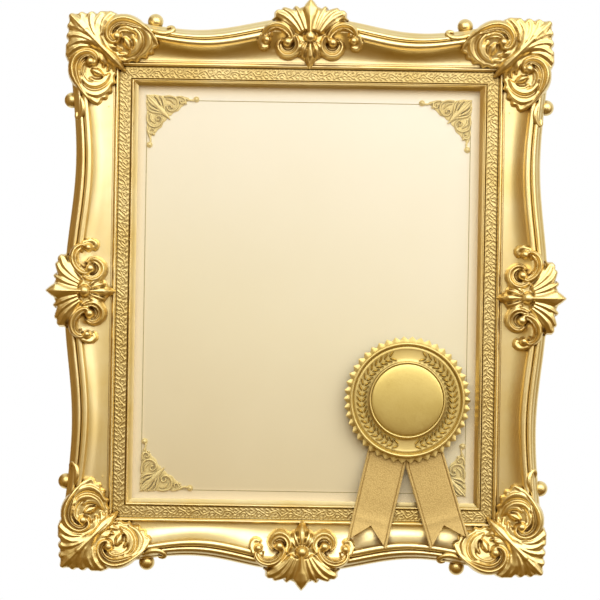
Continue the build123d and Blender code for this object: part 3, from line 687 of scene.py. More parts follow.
class FRAME_OT_rails(bpy.types.Operator):
    """Lay the four serpentine rails, mitred at the corners"""

    bl_idname = "frame.rails"
    bl_label = "Rails"

    def execute(self, context):
        # 86601C is the painted shade laid into the rails' hollows.
        gold = gold_leaf("burnished gold leaf", colours().rail_gold, "#F3DC9A", "#86601C", 0.30, 0.38, 1.2,
                         0.03, 2.2)
        across_grain, along_grain = 1.0, 0.06
        level = (along_grain, across_grain, across_grain)
        level_pine = plain_finish("bare pine level grain", "#C0955C", "#DDBD8C", 0.7, 1.4, 0.06,
                                  stretch=level)
        upright = (across_grain, across_grain, along_grain)
        upright_pine = plain_finish("bare pine upright grain", "#C0955C", "#DDBD8C", 0.7, 1.4, 0.06,
                                    stretch=upright)
        for side in SIDES:
            run, outward, distance, half_sight, _ = side_axes(side)
            half_outer = half_sight + sizes().bulge
            shares = np.linspace(-1, 1, 181)
            rings = [rail_section(rail_width(side, t * half_outer)) for t in shares]
            out = np.array([[p[0] for p in ring] + [ring[0][0]] for ring in rings])
            height = np.array([[p[1] for p in ring] + [ring[0][1]] for ring in rings])
            step = shares[:, None] * (half_sight + out)
            # Past the trim line, points slide back along the corner's diagonal.
            from_end, from_edge = half_outer - np.abs(step), sizes().bulge - out
            over = from_end + from_edge
            slide = np.clip(sizes().corner_trim - over, 0, None) / 2
            # Pockets under the ornaments, so that the beads do not show through their hollows.
            pocket = (from_end < 50) & (from_edge > 4) & (from_edge < 22)
            pocket |= (np.abs(step) < 28) & (from_edge > 6) & (from_edge < 24)
            floor = 15.0 + 0.42 * np.clip(out - 26, 0, 13)
            height = np.where(pocket, np.minimum(height, floor), height)
            piece = grid_piece(f"gilded_rail_{side}", step - np.sign(step) * slide, out - slide, height)
            bpy.ops.object.mode_set(mode="EDIT")
            bpy.ops.mesh.select_all(action="SELECT")
            bpy.ops.mesh.remove_doubles(threshold=mm(0.001))
            bpy.ops.mesh.fill_holes(sides=0)
            tidy_mesh(38.0)
            set_place(piece, front(0, 0, 0) + outward * mm(distance), run, outward)
            dress(piece, gold, "gilded_wood", f"rail_{side}")
            piece.data.materials.append(level_pine if side in ("top", "bottom") else upright_pine)
            for face in piece.data.polygons:
                if face.normal.y > 0.7:
                    face.material_index = 1
        return {"FINISHED"}


class FRAME_OT_friezes(bpy.types.Operator):
    """Press the running vine into the four frieze strips"""

    bl_idname = "frame.friezes"
    bl_label = "Friezes"

    def execute(self, context):
        # 6E5014 is the painted shade laid into the frieze's hollows.
        gold = gold_leaf("gilded pressed frieze", "#DAC68E", "#CDB474", "#6E5014", 0.42, 0.52, 0.9, 0.03, 1.3,
                         hollow=(0.45, 0.98))
        period = 11.2
        middle, half = (FRIEZE_INNER + FRIEZE_OUTER) / 2, (FRIEZE_OUTER - FRIEZE_INNER) / 2 - 0.1
        seat = sizes().rebate + 2.3
        for side in SIDES:
            run, outward, distance, half_sight, _ = side_axes(side)
            out, share = np.meshgrid(
                np.linspace(middle - half, middle + half, 29), np.linspace(-1, 1, int(half_sight * 2 / 0.34)),
                indexing="ij",
            )
            step = share * (half_sight + out)
            across = out - middle
            vine = 1.7 * np.sin(2 * math.pi * step / period) + 0.4 * np.sin(2 * math.pi * step / 4.7)
            height = np.exp(-((across - vine) / 0.42) ** 2)
            turn = np.floor(2 * step / period)
            local = step - (turn + 0.5) * period / 2
            flip = np.where(turn % 2 == 0, 1.0, -1.0)
            rise = across + 1.6 * flip
            gap = np.hypot(local, rise)
            swirl = np.arctan2(rise * flip, local)
            curl = np.exp(-((gap - 1.3 - 0.14 * swirl) / 0.3) ** 2)
            height = np.maximum(height, 0.8 * curl)
            for pitch, place, slant in ((3.1, 2.5, 0.9), (3.7, -2.5, -0.7), (4.3, 0.2, 1.1)):
                beat = (step + 2 * place) % pitch - pitch / 2
                length = beat * math.cos(slant) + (across - place) * math.sin(slant)
                width = (across - place) * math.cos(slant) - beat * math.sin(slant)
                height = np.maximum(height, 0.95 * np.exp(-(length / 1.4) ** 2 - (width / 0.45) ** 2))
            edge = np.exp(-((np.abs(across) - half + 0.25) / 0.22) ** 2)
            height = np.maximum(height, 0.7 * edge)
            piece = relief(f"frieze_vine_{side}", step, out, seat + 1.0 + 0.40 * height, seat)
            set_place(piece, front(0, 0, 0) + outward * mm(distance), run, outward)
            dress(piece, gold, "gilded_frieze", f"frieze_{side}")
        return {"FINISHED"}


def ornament_gold():
    """The gold of corners, crests and pearls, with a painted shade deep in the hollows."""
    # 6A460E is the painted shade in the ornaments' hollows.
    return gold_leaf(
        "gold leaf on cast ornament", colours().ornament_gold, "#E8CC84", "#6A460E", 0.30, 0.40, 1.0, 0.02,
        4.5, hollow=(0.20, 0.84),
    )


class FRAME_OT_corners(bpy.types.Operator):
    """Model one corner of leaves and scrolls, and set it at the four corners"""

    bl_idname = "frame.corners"
    bl_label = "Corner ornaments"

    def execute(self, context):
        x, y = plan_grid(-1.5, 66, -66, 1.5, sizes().grid_step)
        # The corner is alike on both sides of its diagonal, so points below it are folded over.
        a, b = np.maximum(x, -y), np.minimum(x, -y)
        skirt = [(41, 5.5), (47, 5.4), (52.5, 8.2), (57.5, 12.2), (61.6, 16.4), (65.0, 20.4), (64.4, 23.6),
                 (61.4, 25.2), (61.0, 28.2), (57.6, 28.8), (56.0, 31.6), (52, 31.6), (49.6, 34.0), (46, 33.2),
                 (43, 34.8), (39.6, 33.8), (37, 32), (34, 29), (32, 25), (33, 20), (36, 12), (41, 5.5)]
        dish = [(30, 5), (37, 3.5), (44, 4.5), (51, 9), (48, 16), (44, 22), (36, 23), (29, 20), (27, 13)]
        fan = [(1.5, 1.5), (9, 1), (28, 0.8), (26.5, 8), (25, 18), (30, 27), (31, 31), (18, 18)]
        gusset = [(21.5, 0.6), (23, -1.0), (31, -1.0), (35, 0.8), (36, 2.8), (32.4, 4.5), (28.2, 8.6),
                  (26.4, 14.4), (27.8, 19.2), (30.6, 22.2), (35, 23.6), (36, 25.4), (30, 26), (25, 20),
                  (23.2, 8)]
        throat = [(19, 19), (25.5, 17), (29, 22.5), (35, 25), (39, 31), (37.5, 36.5), (30, 30)]
        shapes = [
            plate(a, b, smooth_path(skirt, 5), 24.2 - 0.19 * np.clip(b - 8, 0, 30), 0.6, 1.2, rim=0.5),
            plate(a, b, dish, 26.2 - 0.24 * np.clip(b - 5, 0, 20), 0.2, 1.0),
            plate(a, b, gusset, 26.8 - 0.08 * np.clip(b - 12, 0, 20), 0.2, 1.0),
            plate(a, b, fan, 26.6, 0.3, 1.0),
            plate(a, b, throat, 25.0 - 0.3 * np.clip(b - 22, 0, 20), 0.3, 1.0),
            band(a, b, [(50, 6.4), (55, 9.6), (59.6, 13.8), (63.6, 18.4)], (1.0, 1.3, 1.3, 0.8),
                 (26.6, 25.6, 24, 22), 1.0),
            channel(a, b, [(58, 13.4), (53.4, 9.8), (48.8, 7.2), (43.6, 5.4), (38.4, 5.0), (33.6, 6.6),
                           (30.2, 10.0), (28.8, 14.4), (29.8, 18.4), (32.8, 20.6), (36.2, 19.8)],
                    (1.0, 2.2, 3.2, 4.0, 4.2, 4.2, 4.0, 3.6, 3.0, 2.4, 1.6),
                    (24.6, 26.4, 27.8, 28.6, 29, 29, 29, 28.8, 28.2, 27.4, 26.6), 0.9),
            channel(a, b, [(49.4, 15.6), (46, 12.6), (42, 11.2), (38.2, 11.6), (35.2, 13.8)],
                    (0.9, 1.8, 2.2, 2.2, 1.6), (24, 25.4, 26.2, 26.6, 26.6), 0.8),
            ball(a, b, (35.2, 16.8), 3.4, 25.8),
            band(a, b, [(46.5, 10.6), (50.6, 15.4), (51.2, 21), (48.6, 26.4), (43.6, 30)],
                 (1.0, 2.0, 2.5, 2.1, 0.9), (24.2, 23.6, 22.8, 21.8, 20.6), 2.0, 0.6, -1),
            band(a, b, [(52, 10.4), (56.6, 15.4), (57.6, 21.6), (54.6, 27.4), (49.4, 31.4)],
                 (1.0, 2.0, 2.6, 2.1, 0.9), (23.8, 23.0, 22.0, 20.8, 19.4), 1.8, 0.6, -1),
            leaf(a, b, [(57.4, 13.4), (61.6, 17.6), (64.2, 21.8)], (1.2, 2.3, 1.2), (23.4, 22.4, 21.0), 1.4),
            band(a, b, [(46.6, 16.8), (48.8, 20.6), (48.2, 25.0), (45.0, 27.6)], (0.8, 1.3, 1.4, 0.8),
                 (24, 23.8, 23.2, 22.4), 1.0),
            leaf(a, b, [(41.2, 18.8), (42.8, 22.0), (44.2, 25.0)], (1.3, 2.5, 2.4, 1.2), (24.6, 24, 23), 2.0),
            band(a, b, [(24.4, 12), (25.0, 18.6), (27.8, 23.6), (32.6, 26.2), (38, 26.0)],
                 (0.9, 1.3, 1.4, 1.3, 0.7), (27.4, 26.6, 25.6, 24.4, 23), 0.9),
            band(a, b, [(26.4, 23.6), (30.2, 28.0), (35.6, 30.0), (41, 29.4)], (0.9, 1.4, 1.4, 0.8),
                 (26, 25, 23, 21), 0.9),
            leaf(a, b, [(31, 29.4), (35.4, 32.6), (40.4, 33.8)], (1.0, 1.9, 1.0), (24.6, 22.6, 20.0), 1.2),
            leaf(a, b, [(3.0, 3.0), (6.6, 6.8), (12, 12.5), (18, 18)], (2.2, 3.6, 3.0, 1.4),
                 (27, 28.8, 29.2, 29), 1.7, 2, 0.25),
            leaf(a, b, [(10.0, 2.8), (11, 6), (14, 11.5), (19, 18.5)], (3.0, 3.3, 2.6, 1.4),
                 (27, 28.2, 28.8, 28.6), 1.7, 2, 0.25),
            leaf(a, b, [(17.0, 2.6), (16.8, 6.4), (18.4, 13), (22.5, 21)], (3.2, 3.4, 2.8, 1.4),
                 (27, 28.4, 28.8, 28), 1.8, 2, 0.25),
            leaf(a, b, [(24.0, 2.6), (21.8, 6), (20.6, 11), (22.2, 18.6), (27, 26)],
                 (3.0, 3.0, 2.4, 2.0, 1.2), (27, 28.4, 28.4, 28, 26.4), 1.7, 2, 0.25),
            leaf(a, b, [(30.0, 1.4), (26.8, 5.0), (24.6, 9.6), (24.4, 15.6)], (2.6, 2.5, 2.0, 1.2),
                 (26.6, 27.8, 28.0, 27.4), 1.7, 2, 0.25),
            leaf(a, b, [(14, 14), (22, 22), (30, 30), (35, 35), (40.5, 40.5)],
                 (2.0, 1.7, 1.8, 2.3, 3.4, 2.6, 0.5), (29.8, 29, 27.6, 25, 19.5), 1.7, 3, 0.3),
        ]
        height = cast(shapes, bed_under(shapes, 2, CAST_BED))
        master = relief("corner_leaf_scroll", x, y, height, CAST_BACK, CAST_CUT)
        outer_x = sizes().sight_width / 2 + sizes().bulge
        outer_z = sizes().sight_height / 2 + sizes().bulge
        set_corners(
            master, "corner_leaf_scroll", outer_x, 0, outer_z, outer_z,
            ornament_gold(), "gilded_cast_ornament", "corner_ornament",
        )
        return {"FINISHED"}


class FRAME_OT_crests(bpy.types.Operator):
    """Model one palmette crest with its scrolls, and set it on the four sides"""

    bl_idname = "frame.crests"
    bl_label = "Crests"

    def execute(self, context):
        gold = ornament_gold()
        x, y = plan_grid(-37.5, 37.5, -38.5, 14.0, sizes().grid_step)
        p = np.abs(x)
        u = y + sizes().bulge
        palm = [(0, 34), (11, 38), (17, 45), (22, 49), (19, 52), (10, 55), (0, 59), (-1, 59), (-1, 34)]
        foot = [(0, 13.6), (2.0, 16.2), (3.4, 18.8), (5.4, 20.6), (6.4, 24), (0, 25), (-1, 25), (-1, 13.6)]
        heart = [(0, 18), (5, 20), (8, 22), (10, 26), (13, 34), (12, 41), (0, 43), (-1, 43), (-1, 18)]
        web = [(10, 40), (16, 45.6), (24, 46.6), (27, 48.2), (24, 51), (14, 48)]
        bowl = [(11, 30), (12, 26.4), (16, 24.6), (20, 26.4), (21, 30), (19, 33), (13, 33)]
        comma = [(30, 29), (34, 28.6), (35.4, 33), (33.5, 37), (30, 36)]
        rise = np.clip((u - 20) / 12, 0, 1)
        shapes = [
            plate(p, u, palm, 27.0, 0.4, 1.0),
            plate(p, u, web, 23.6, 0.4, 1.0),
            plate(p, u, bowl, 22.6, 0.3, 1.0),
            plate(p, u, comma, 22.4, 0.3, 1.0),
            plate(p, u, heart, 19.0 + 7.0 * rise, 0.4, 1.0),
            plate(p, u, foot, 18.0, 1.6, 1.4),
            channel(p, u, [(31.4, 33.8), (32.0, 38.0), (29.2, 41.8), (24.2, 43.4), (19.0, 42.2), (15.0, 38.8),
                           (13.0, 34.6), (14.0, 31.6)],
                    (1.6, 2.6, 3.2, 3.4, 3.4, 3.2, 2.6, 1.8), (25.4, 27, 28.4, 29, 29, 28.8, 28.4, 27.6), 0.8,
                    -1),
            channel(p, u, [(10.4, 35.4), (8.7, 30.4), (10.0, 25.8), (13.8, 22.9), (18.4, 23.2), (21.6, 26.4),
                           (22.2, 30.2), (20.6, 33.0)],
                    (1.6, 2.2, 2.7, 2.9, 2.9, 2.7, 2.3, 1.4), (28, 27.6, 27, 26.4, 26, 25.8, 25.6, 25.6), 0.8,
                    -1),
            ball(p, u, (16.0, 31.4), 3.5, 26.2),
            ball(p, u, (30.8, 33.0), 2.9, 25.4),
            band(p, u, [(34.6, 36.4), (35.6, 31.6), (33.4, 28.0), (30.6, 28.4)], (1.6, 2.0, 2.4, 1.8),
                 (24.6, 23.4, 22, 21.6), 1.4),
            leaf(p, u, [(7.4, 38.4), (12.2, 44.6), (17.6, 49.4), (22.4, 51.6)], (1.4, 2.7, 3.9, 4.5, 3.2),
                 (28.4, 28.4, 28.0, 26.4), 2.0, 2, 0.35),
            leaf(p, u, [(5.6, 39.4), (9.2, 46), (13.6, 51.4), (18.4, 54.4)], (1.3, 2.5, 3.3, 3.3, 2.1),
                 (29.0, 29.0, 28.4, 26.6), 2.0, 2, 0.35),
            leaf(p, u, [(3.4, 40), (5.8, 47), (8.6, 52.8), (10.4, 55.8)], (1.1, 2.0, 2.8, 2.8, 1.6),
                 (29.4, 29.4, 28.8, 26.8), 1.9, 2, 0.3),
            leaf(p, u, [(1.8, 40), (2.6, 46), (4.0, 51), (5.8, 54)], (0.8, 1.2, 1.5, 1.4, 0.8),
                 (29.6, 29.4, 28.8, 27.6), 1.5),
            leaf(p, u, [(0, 38), (0, 46), (0, 54), (0, 58.6), (0, 62.2)],
                 (1.2, 1.6, 2.3, 3.2, 4.4, 5.4, 3.8, 0.8), (30.4, 30.4, 30.4, 29.6, 27.6), 2.4, 0, 0.0, 1.0),
            ball(p, u, (0, 35.2), 5.6, 22.6),
            ball(p, u, (0, 35.2), 4.2, 28.6),
            leaf(p, u, [(0, 31), (0, 26), (0, 21.6), (0, 16.4)], (1.1, 1.8, 2.9, 2.6, 0.6),
                 (26.0, 26.0, 25.2, 21.6), 2.6),
            leaf(p, u, [(2.4, 30.4), (4.2, 26), (5.4, 21.6)], (0.9, 1.6, 1.9, 0.9), (25.8, 25.4, 23.6), 2.2),
            leaf(p, u, [(4.8, 31), (7.2, 27.2), (9.2, 22.8)], (0.9, 1.6, 1.9, 0.9), (25.8, 25.2, 23.2), 2.2),
        ]
        height = cast(shapes, bed_under(shapes, 2, CAST_BED))
        master = relief("palmette_crest", x, y, height, CAST_BACK, CAST_CUT)
        for side in SIDES:
            run, outward, distance, _, _ = side_axes(side)
            piece = copy_of(master, f"palmette_crest_{side}")
            set_place(piece, front(0, 0, 0) + outward * mm(distance + sizes().bulge), run, outward)
            dress(piece, gold, "gilded_cast_ornament", f"crest_{side}")
        bpy.data.objects.remove(master)
        return {"FINISHED"}


class FRAME_OT_pearls(bpy.types.Operator):
    """Turn the pearls on the outer edge beside each corner"""

    bl_idname = "frame.pearls"
    bl_label = "Pearls"

    def execute(self, context):
        pearl_radius, pearl_height, from_corner = 5.6, 12.0, 62.0
        outset_side, outset_end = 1.4, 3.6
        pieces = []
        for side in SIDES:
            run, outward, distance, half_sight, _ = side_axes(side)
            reach = half_sight + sizes().bulge - from_corner
            outset = outset_side if side in ("left", "right") else outset_end
            for place in (-reach, reach):
                out = distance + rail_width(side, place) + outset
                centre = front(0, pearl_height, 0) + outward * mm(out) + run * mm(place)
                start_fresh()
                bpy.ops.mesh.primitive_uv_sphere_add(
                    segments=40, ring_count=20, radius=mm(pearl_radius), location=centre
                )
                bpy.ops.object.transform_apply(location=True)
                pieces.append(bpy.context.object)
                tidy_mesh()
                pieces.append(self.curl(side, place))
        piece = merged("edge_pearl_set", pieces)
        dress(piece, ornament_gold(), "gilded_cast_ornament", "edge_pearls")
        return {"FINISHED"}

    def curl(self, side, place):
        """A small leaf that leaves the corner along the rail's edge and curls up beyond the pearl."""
        run, outward, distance, _, _ = side_axes(side)
        hand = -math.copysign(1, place)
        tuck = 3.0 if side in ("left", "right") else 1.2
        # Along the rail from the pearl, out from the rail's edge, height, and half thickness.
        points = (
            (-7.8, -1.0, 18.0, 1.2), (-2.3, -2.4, 20.0, 1.9), (3.7, -3.8, 21.6, 2.2), (8.2, -3.4, 21.4, 2.2),
            (11.9, -1.6, 20.4, 2.0), (13.5, 0.6, 19.2, 1.9), (11.2, 2.0, 18.6, 1.6), (8.8, 0.9, 18.6, 1.2),
        )
        start_fresh()
        line = bpy.data.curves.new("edge_curl", "CURVE")
        line.dimensions = "3D"
        line.bevel_depth = mm(1.0)
        line.bevel_resolution = 4
        line.use_fill_caps = True
        spline = line.splines.new("NURBS")
        spline.points.add(len(points) - 1)
        for point, (step, out, height, thick) in zip(spline.points, points):
            spot = place + hand * step
            reach = distance + rail_width(side, spot) + out - tuck
            point.co = (*(front(0, height, 0) + outward * mm(reach) + run * mm(spot)), 1.0)
            point.radius = thick
        spline.order_u = 3
        spline.use_endpoint_u = True
        piece = bpy.data.objects.new("edge_curl", line)
        bpy.context.collection.objects.link(piece)
        bpy.context.view_layer.objects.active = piece
        piece.select_set(True)
        bpy.ops.object.convert(target="MESH")
        tidy_mesh(60.0)
        return bpy.context.object


class FRAME_OT_certificate(bpy.types.Operator):
    """Lay the blank sheet with its border line, filigree corners, glazing and backing boards"""

    bl_idname = "frame.certificate"
    bl_label = "Certificate"

    def execute(self, context):
        finishes = {
            "certificate": certificate_paper(),
            "glazing": clear_pane(),
            "mount_board": plain_finish("matt mount board", "#E2DAC4", "#EEE6D2", 0.85, 0.4, 0.03),
            "glazing_spacers": plain_finish("cream spacer strip", "#E0D6BC", "#EAE0C8", 0.6, 0.8, 0.02),
        }
        for name, material in finishes.items():
            paint(name, material)
        # 86702E is the painted shade in the filigree's hollows, from its own occlusion alone.
        gilt = gold_leaf(
            "satin gilt filigree", "#EEDD9C", "#E0CB86", "#86702E", 0.40, 0.48, 0.6, 0.02, 2.2, 0.35, True,
            (0.1, 0.8),
        )
        ink = plain_finish("olive gilt ink", "#A3945F", "#B4A56E", 0.6, 0.6, 0.01, 0.2)
        face = sizes().rebate - 4.5
        half_x, half_z = sizes().sight_width / 2 - 5.8, sizes().sight_height / 2
        self.border(ink, half_x, half_z - 5.8, half_z - 9.6, face)
        x, y = plan_grid(-2.5, 41, -41, 2.5, 0.25)
        a, b = np.maximum(x, -y), np.minimum(x, -y)
        body = [(-0.4, -0.4), (6, -0.8), (11, 0), (16, -0.6), (20, 0.4), (24, -0.2), (28, 0.8), (30, 1.4),
                (30.6, 3.2), (28.4, 4.6), (26.8, 6.8), (24.8, 8.2), (22.6, 11.0), (19.4, 12.2), (17.4, 14.4),
                (14.5, 14.4), (12, 12.2), (6, 6), (-0.4, -0.4)]
        shapes = [
            plate(a, b, smooth_path(body, 4), 0.2, 0.1, 0.5),
            leaf(a, b, [(0, 0), (6, 6), (12, 12), (16.8, 16.8)], (0.7, 1.2, 1.6, 1.9, 0.4), (0.6, 0.8, 0.6),
                 0.6),
            leaf(a, b, [(2.4, 0.6), (5.4, 3.0), (9.2, 7.8)], (0.6, 0.9, 0.5), (0.5, 0.6, 0.5), 0.6),
            leaf(a, b, [(5.6, 0.4), (8.6, 3.2), (11.8, 9.8)], (0.6, 1.0, 0.5), (0.5, 0.6, 0.5), 0.6),
            leaf(a, b, [(9.4, 0.4), (11.6, 3.6), (13.0, 10.8)], (0.6, 1.0, 0.5), (0.5, 0.6, 0.5), 0.6),
            band(a, b, [(13, 0.8), (17.6, 0.6), (21.4, 2.6), (22.4, 6.6), (20.2, 10.2), (16.8, 11.0),
                        (14.8, 9.0), (15.6, 6.8), (17.8, 7.2)], (0.6, 0.8, 0.8, 0.8, 0.8, 0.7, 0.6),
                        (0.5, 0.6, 0.6), 0.7),
            leaf(a, b, [(14.2, 2.6), (17.4, 3.2), (19.8, 6.0)], (0.5, 0.9, 0.5), (0.4, 0.5, 0.4), 0.6),
            band(a, b, [(22.4, 0.6), (25.8, 1.2), (27.4, 3.4), (25.8, 5.6), (24.0, 4.8), (24.6, 3.4)],
                 (0.6, 0.7, 0.7, 0.6, 0.5), (0.5, 0.6), 0.6),
            band(a, b, [(26.5, 1.2), (30, 2.8), (33.6, 3.2)], (0.6, 0.8, 0.7), (0.4, 0.5), 0.6),
            ball(a, b, (35.4, 2.4), 2.4, -0.8),
            ball(a, b, (27.8, 5.4), 1.0, 0.4),
            ball(a, b, (17.8, 8.4), 1.0, 0.5),
        ]
        height = np.maximum.reduce(shapes)
        height = np.where(height > NOTHING, 1.5 * height, NOTHING)
        master = relief("filigree", x, y, height, 0.0, 0.15)
        set_corners(
            master, "filigree", half_x, face, half_z - 6.6, half_z - 5.0,
            gilt, "gilt_filigree", "certificate_corner",
        )
        return {"FINISHED"}

    def border(self, ink, half_x, below, above, face):
        """A hairline gilt border on the sheet."""
        start_fresh()
        bpy.ops.mesh.primitive_plane_add(size=1)
        piece = bpy.context.object
        piece.name = "certificate_border_line"
        piece.data.transform(Matrix.Diagonal((mm(2 * half_x), mm(above + below), 1, 1)))
        piece.data.transform(Matrix.Translation((0, mm(above - below) / 2, 0)))
        bpy.ops.object.mode_set(mode="EDIT")
        bpy.ops.mesh.select_all(action="SELECT")
        bpy.ops.mesh.inset(thickness=mm(0.55))
        bpy.ops.mesh.delete(type="FACE")
        bpy.ops.mesh.select_all(action="SELECT")
        bpy.ops.mesh.extrude_region_move(TRANSFORM_OT_translate={"value": (0, 0, mm(0.12))})
        tidy_mesh()
        set_place(piece, front(0, face, 0), (1, 0, 0), (0, 0, 1))
        dress(piece, ink, "gilt_filigree")


class FRAME_OT_rosette(bpy.types.Operator):
    """Build the rosette: pleated ruffle, medal, laurel wreath and domed disc"""

    bl_idname = "frame.rosette"
    bl_label = "Rosette"

    def execute(self, context):
        s = sizes()
        place = front(s.rosette_x, s.rebate, s.rosette_z)
        axes = ((1, 0, 0), (0, 0, 1))
        # 6E5A20 is the painted shade in the hollows of ruffle, medal and wreath.
        satin = gold_leaf("satin stamped gold", "#EAD592", "#E0C980", "#6E5A20", 0.42, 0.52, 0.7, 0.05, 2.4,
                          hollow=(0.2, 0.84))
        angle, share = np.meshgrid(
            np.linspace(0, 2 * math.pi, s.ruffle_teeth * 10 + 1), np.linspace(0, 1, 13), indexing="ij"
        )
        wave = np.abs(((angle * s.ruffle_teeth / (2 * math.pi)) % 1.0) * 2 - 1)
        ruffle_root, ruffle_reach, tooth = 37.0, 5.8, 2.6
        radius = ruffle_root + share * (ruffle_reach + tooth * wave)
        height = 4.4 - 0.8 * share + 0.36 * share * (wave - 0.5)
        ruffle = relief("pleated_ruffle", radius * np.cos(angle), radius * np.sin(angle), height, 2.0)
        set_place(ruffle, place, *axes)
        dress(ruffle, satin, "rosette_metal", "rosette_ruffle")
        # Radius and height from the rosette's foot: outer rim, groove, hollow field, then the bezel.
        edge, face, rim_centre, field_centre, bezel_centre = 41.2, 6.2, 40.0, 32.6, 26.6
        half_turn, field_turn = np.linspace(0, math.pi, 12), np.linspace(0.1, math.pi - 0.1, 10)
        rim = [(0, 4.0), (edge, 4.0), (edge, face)]
        rim += [(rim_centre + 1.2 * math.cos(t), face + 1.3 * math.sin(t)) for t in half_turn]
        rim += [(38.6, 5.6), (38.2, 5.1), (37.4, 5.4)]
        rim += [(field_centre + 4.0 * math.cos(t), 5.5 - 0.25 * math.sin(t)) for t in field_turn]
        rim += [(28.4, 5.6), (27.7, 5.9)]
        rim += [(bezel_centre + 1.0 * math.cos(t), face + 1.5 * math.sin(t)) for t in half_turn]
        rim += [(25.5, face), (0, face)]
        medal = lathe("rosette_medal_rim", rim, 180)
        set_place(medal, place, *axes)
        dress(medal, satin, "rosette_metal", "rosette_medal")
        disc_radius, disc_edge, dome_rise = 25.5, 7.1, 1.5
        dome = [(0, 6.0), (disc_radius + 0.1, 6.0), (disc_radius + 0.1, disc_edge - 0.1)]
        dome += [(disc_radius * math.cos(t), disc_edge + dome_rise * math.sin(t))
                 for t in np.linspace(0.03, math.pi / 2, 24)]
        # 8A6C2C is the painted shade in the disc's hollows.
        disc_satin = gold_leaf("satin domed disc", "#E8D48A", "#DEC87A", "#8A6C2C", 0.36, 0.46, 1.0, 0.14)
        disc = lathe("domed_disc", dome, 160)
        set_place(disc, place, *axes)
        dress(disc, disc_satin, "rosette_metal", "rosette_disc")
        wreath = self.wreath()
        set_place(wreath, place, *axes)
        dress(wreath, satin, "rosette_metal", "laurel_wreath")
        for name, material in (
            ("rosette_card", plain_finish("gold faced card", "#BF9A4C", "#CFAC5E", 0.6, 0.5, 0.03)),
            ("rosette_pad", plain_finish("white foam pad", "#E4E2DC", "#EFEDE8", 0.9, 0.8, 0.05)),
        ):
            paint(name, material)
        return {"FINISHED"}

    def wreath(self):
        """Two laurel branches of paired leaves, each leaf creased along its middle."""
        leaves = []
        length, width, count = 5.9, 1.6, 22
        share, across = np.meshgrid(np.linspace(0, 1, 9), np.linspace(-1, 1, 7), indexing="ij")
        half = width / 2 * np.sin(math.pi * share ** 0.8) ** 0.8
        rise = 5.2 + 2.5 * (1 - np.abs(across)) ** 0.9 * np.sin(math.pi * share) ** 0.5
        blade = relief("laurel_leaf", length * share, half * across, rise, 5.0)
        for sign in (1, -1):
            for step in range(count):
                turn = math.radians(-90 + sign * (10 + 146 * step / (count - 1)))
                heading = turn + sign * math.pi / 2
                for lean, radius in ((0.60, 32.9), (-0.66, 32.3)):
                    leaf_piece = copy_of(blade, "laurel_leaf_copy")
                    turned = Matrix.Rotation(heading + sign * lean * -1, 4, "Z")
                    centre = (mm(radius * math.cos(turn)), mm(radius * math.sin(turn)), 0)
                    leaf_piece.data.transform(Matrix.Translation(centre) @ turned)
                    leaves.append(leaf_piece)
        bpy.data.objects.remove(blade)
        return merged("laurel_branches", leaves)


class FRAME_OT_ribbons(bpy.types.Operator):
    """Lay the two swallow-tailed ribbons over the lip and the bottom rail"""

    bl_idname = "frame.ribbons"
    bl_label = "Ribbons"

    def execute(self, context):
        cloth = ribbon_cloth()
        for name, tilt, shift in (("left", 12.7, -11.8), ("right", -17.0, 10.0)):
            self.ribbon(name, tilt, shift, cloth)
        return {"FINISHED"}

    def ribbon(self, name, tilt, shift, cloth):
        s = sizes()
        width, length, notch = 28.4, 72.5, 13.5
        low = s.rebate
        path = smooth_path([(0, low + 0.3), (14, low + 0.6), (38, low + 4.6), (53, low + 7.6),
                            (60, low + 11.4), (length, low + 16.2)], 12)
        edge = width / 2
        columns = np.concatenate([np.linspace(-edge, -edge + 3, 13)[:-1],
                                  np.linspace(-edge + 3, edge - 3, 25), np.linspace(edge - 3, edge, 13)[1:]])
        rows = np.linspace(0, 1, 90)
        x, share = np.meshgrid(columns, rows)
        drop = share * (length - notch * (1 - np.abs(x) / edge))
        # Behind the ruffle each ribbon is cut back to the rosette's middle, where the two would cross.
        hand = math.copysign(1, shift)
        lean, slope = math.sin(math.radians(tilt)), math.cos(math.radians(tilt))
        limit = np.minimum((hand * shift - 0.15 - hand * drop * lean) / slope, edge)
        middle = hand * (edge - limit) / 2
        height = np.interp(drop, path[:, 0], path[:, 1]) + 0.35
        height = height - 0.35 * np.exp(-((np.abs(x) - edge + 1.9) / 0.35) ** 2)
        height = height + 0.35 * np.exp(-((np.abs(x) - edge + 0.8) / 0.5) ** 2)
        piece = grid_piece(f"award_ribbon_{name}", x * (edge + limit) / width + middle, -drop, height)
        solid = piece.modifiers.new("thickness", "SOLIDIFY")
        solid.thickness = mm(0.5)
        solid.offset = -1
        bpy.ops.object.modifier_apply(modifier="thickness")
        tidy_mesh(50.0)
        angle = math.radians(tilt)
        right = (math.cos(angle), 0, -math.sin(angle))
        up = (math.sin(angle), 0, math.cos(angle))
        set_place(piece, front(s.rosette_x + shift, 0, s.rosette_z - 32.0), right, up)
        dress(piece, cloth, "ribbon_cloth", f"ribbon_{name}")


class FRAME_OT_back(bpy.types.Operator):
    """Finish the board and the hardware on the back"""

    bl_idname = "frame.back"
    bl_label = "Back"

    def execute(self, context):
        board = plain_finish("brown hardboard", "#644629", "#755332", 0.7, 0.8, 0.08)
        steel = plain_finish("zinc plated steel", "#BEBFC0", "#CDCED0", 0.32, 0.5, 0.02, 1.0)
        rubber = plain_finish("black rubber bumper", "#161616", "#242424", 0.75, 0.5, 0.04)
        finishes = {"backing_panel": board, "bumpers": rubber, "corner_nails": steel}
        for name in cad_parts:
            if name.startswith(("turn_button", "hanger")):
                finishes[name] = steel
            if name in finishes:
                paint(name, finishes[name])
        return {"FINISHED"}


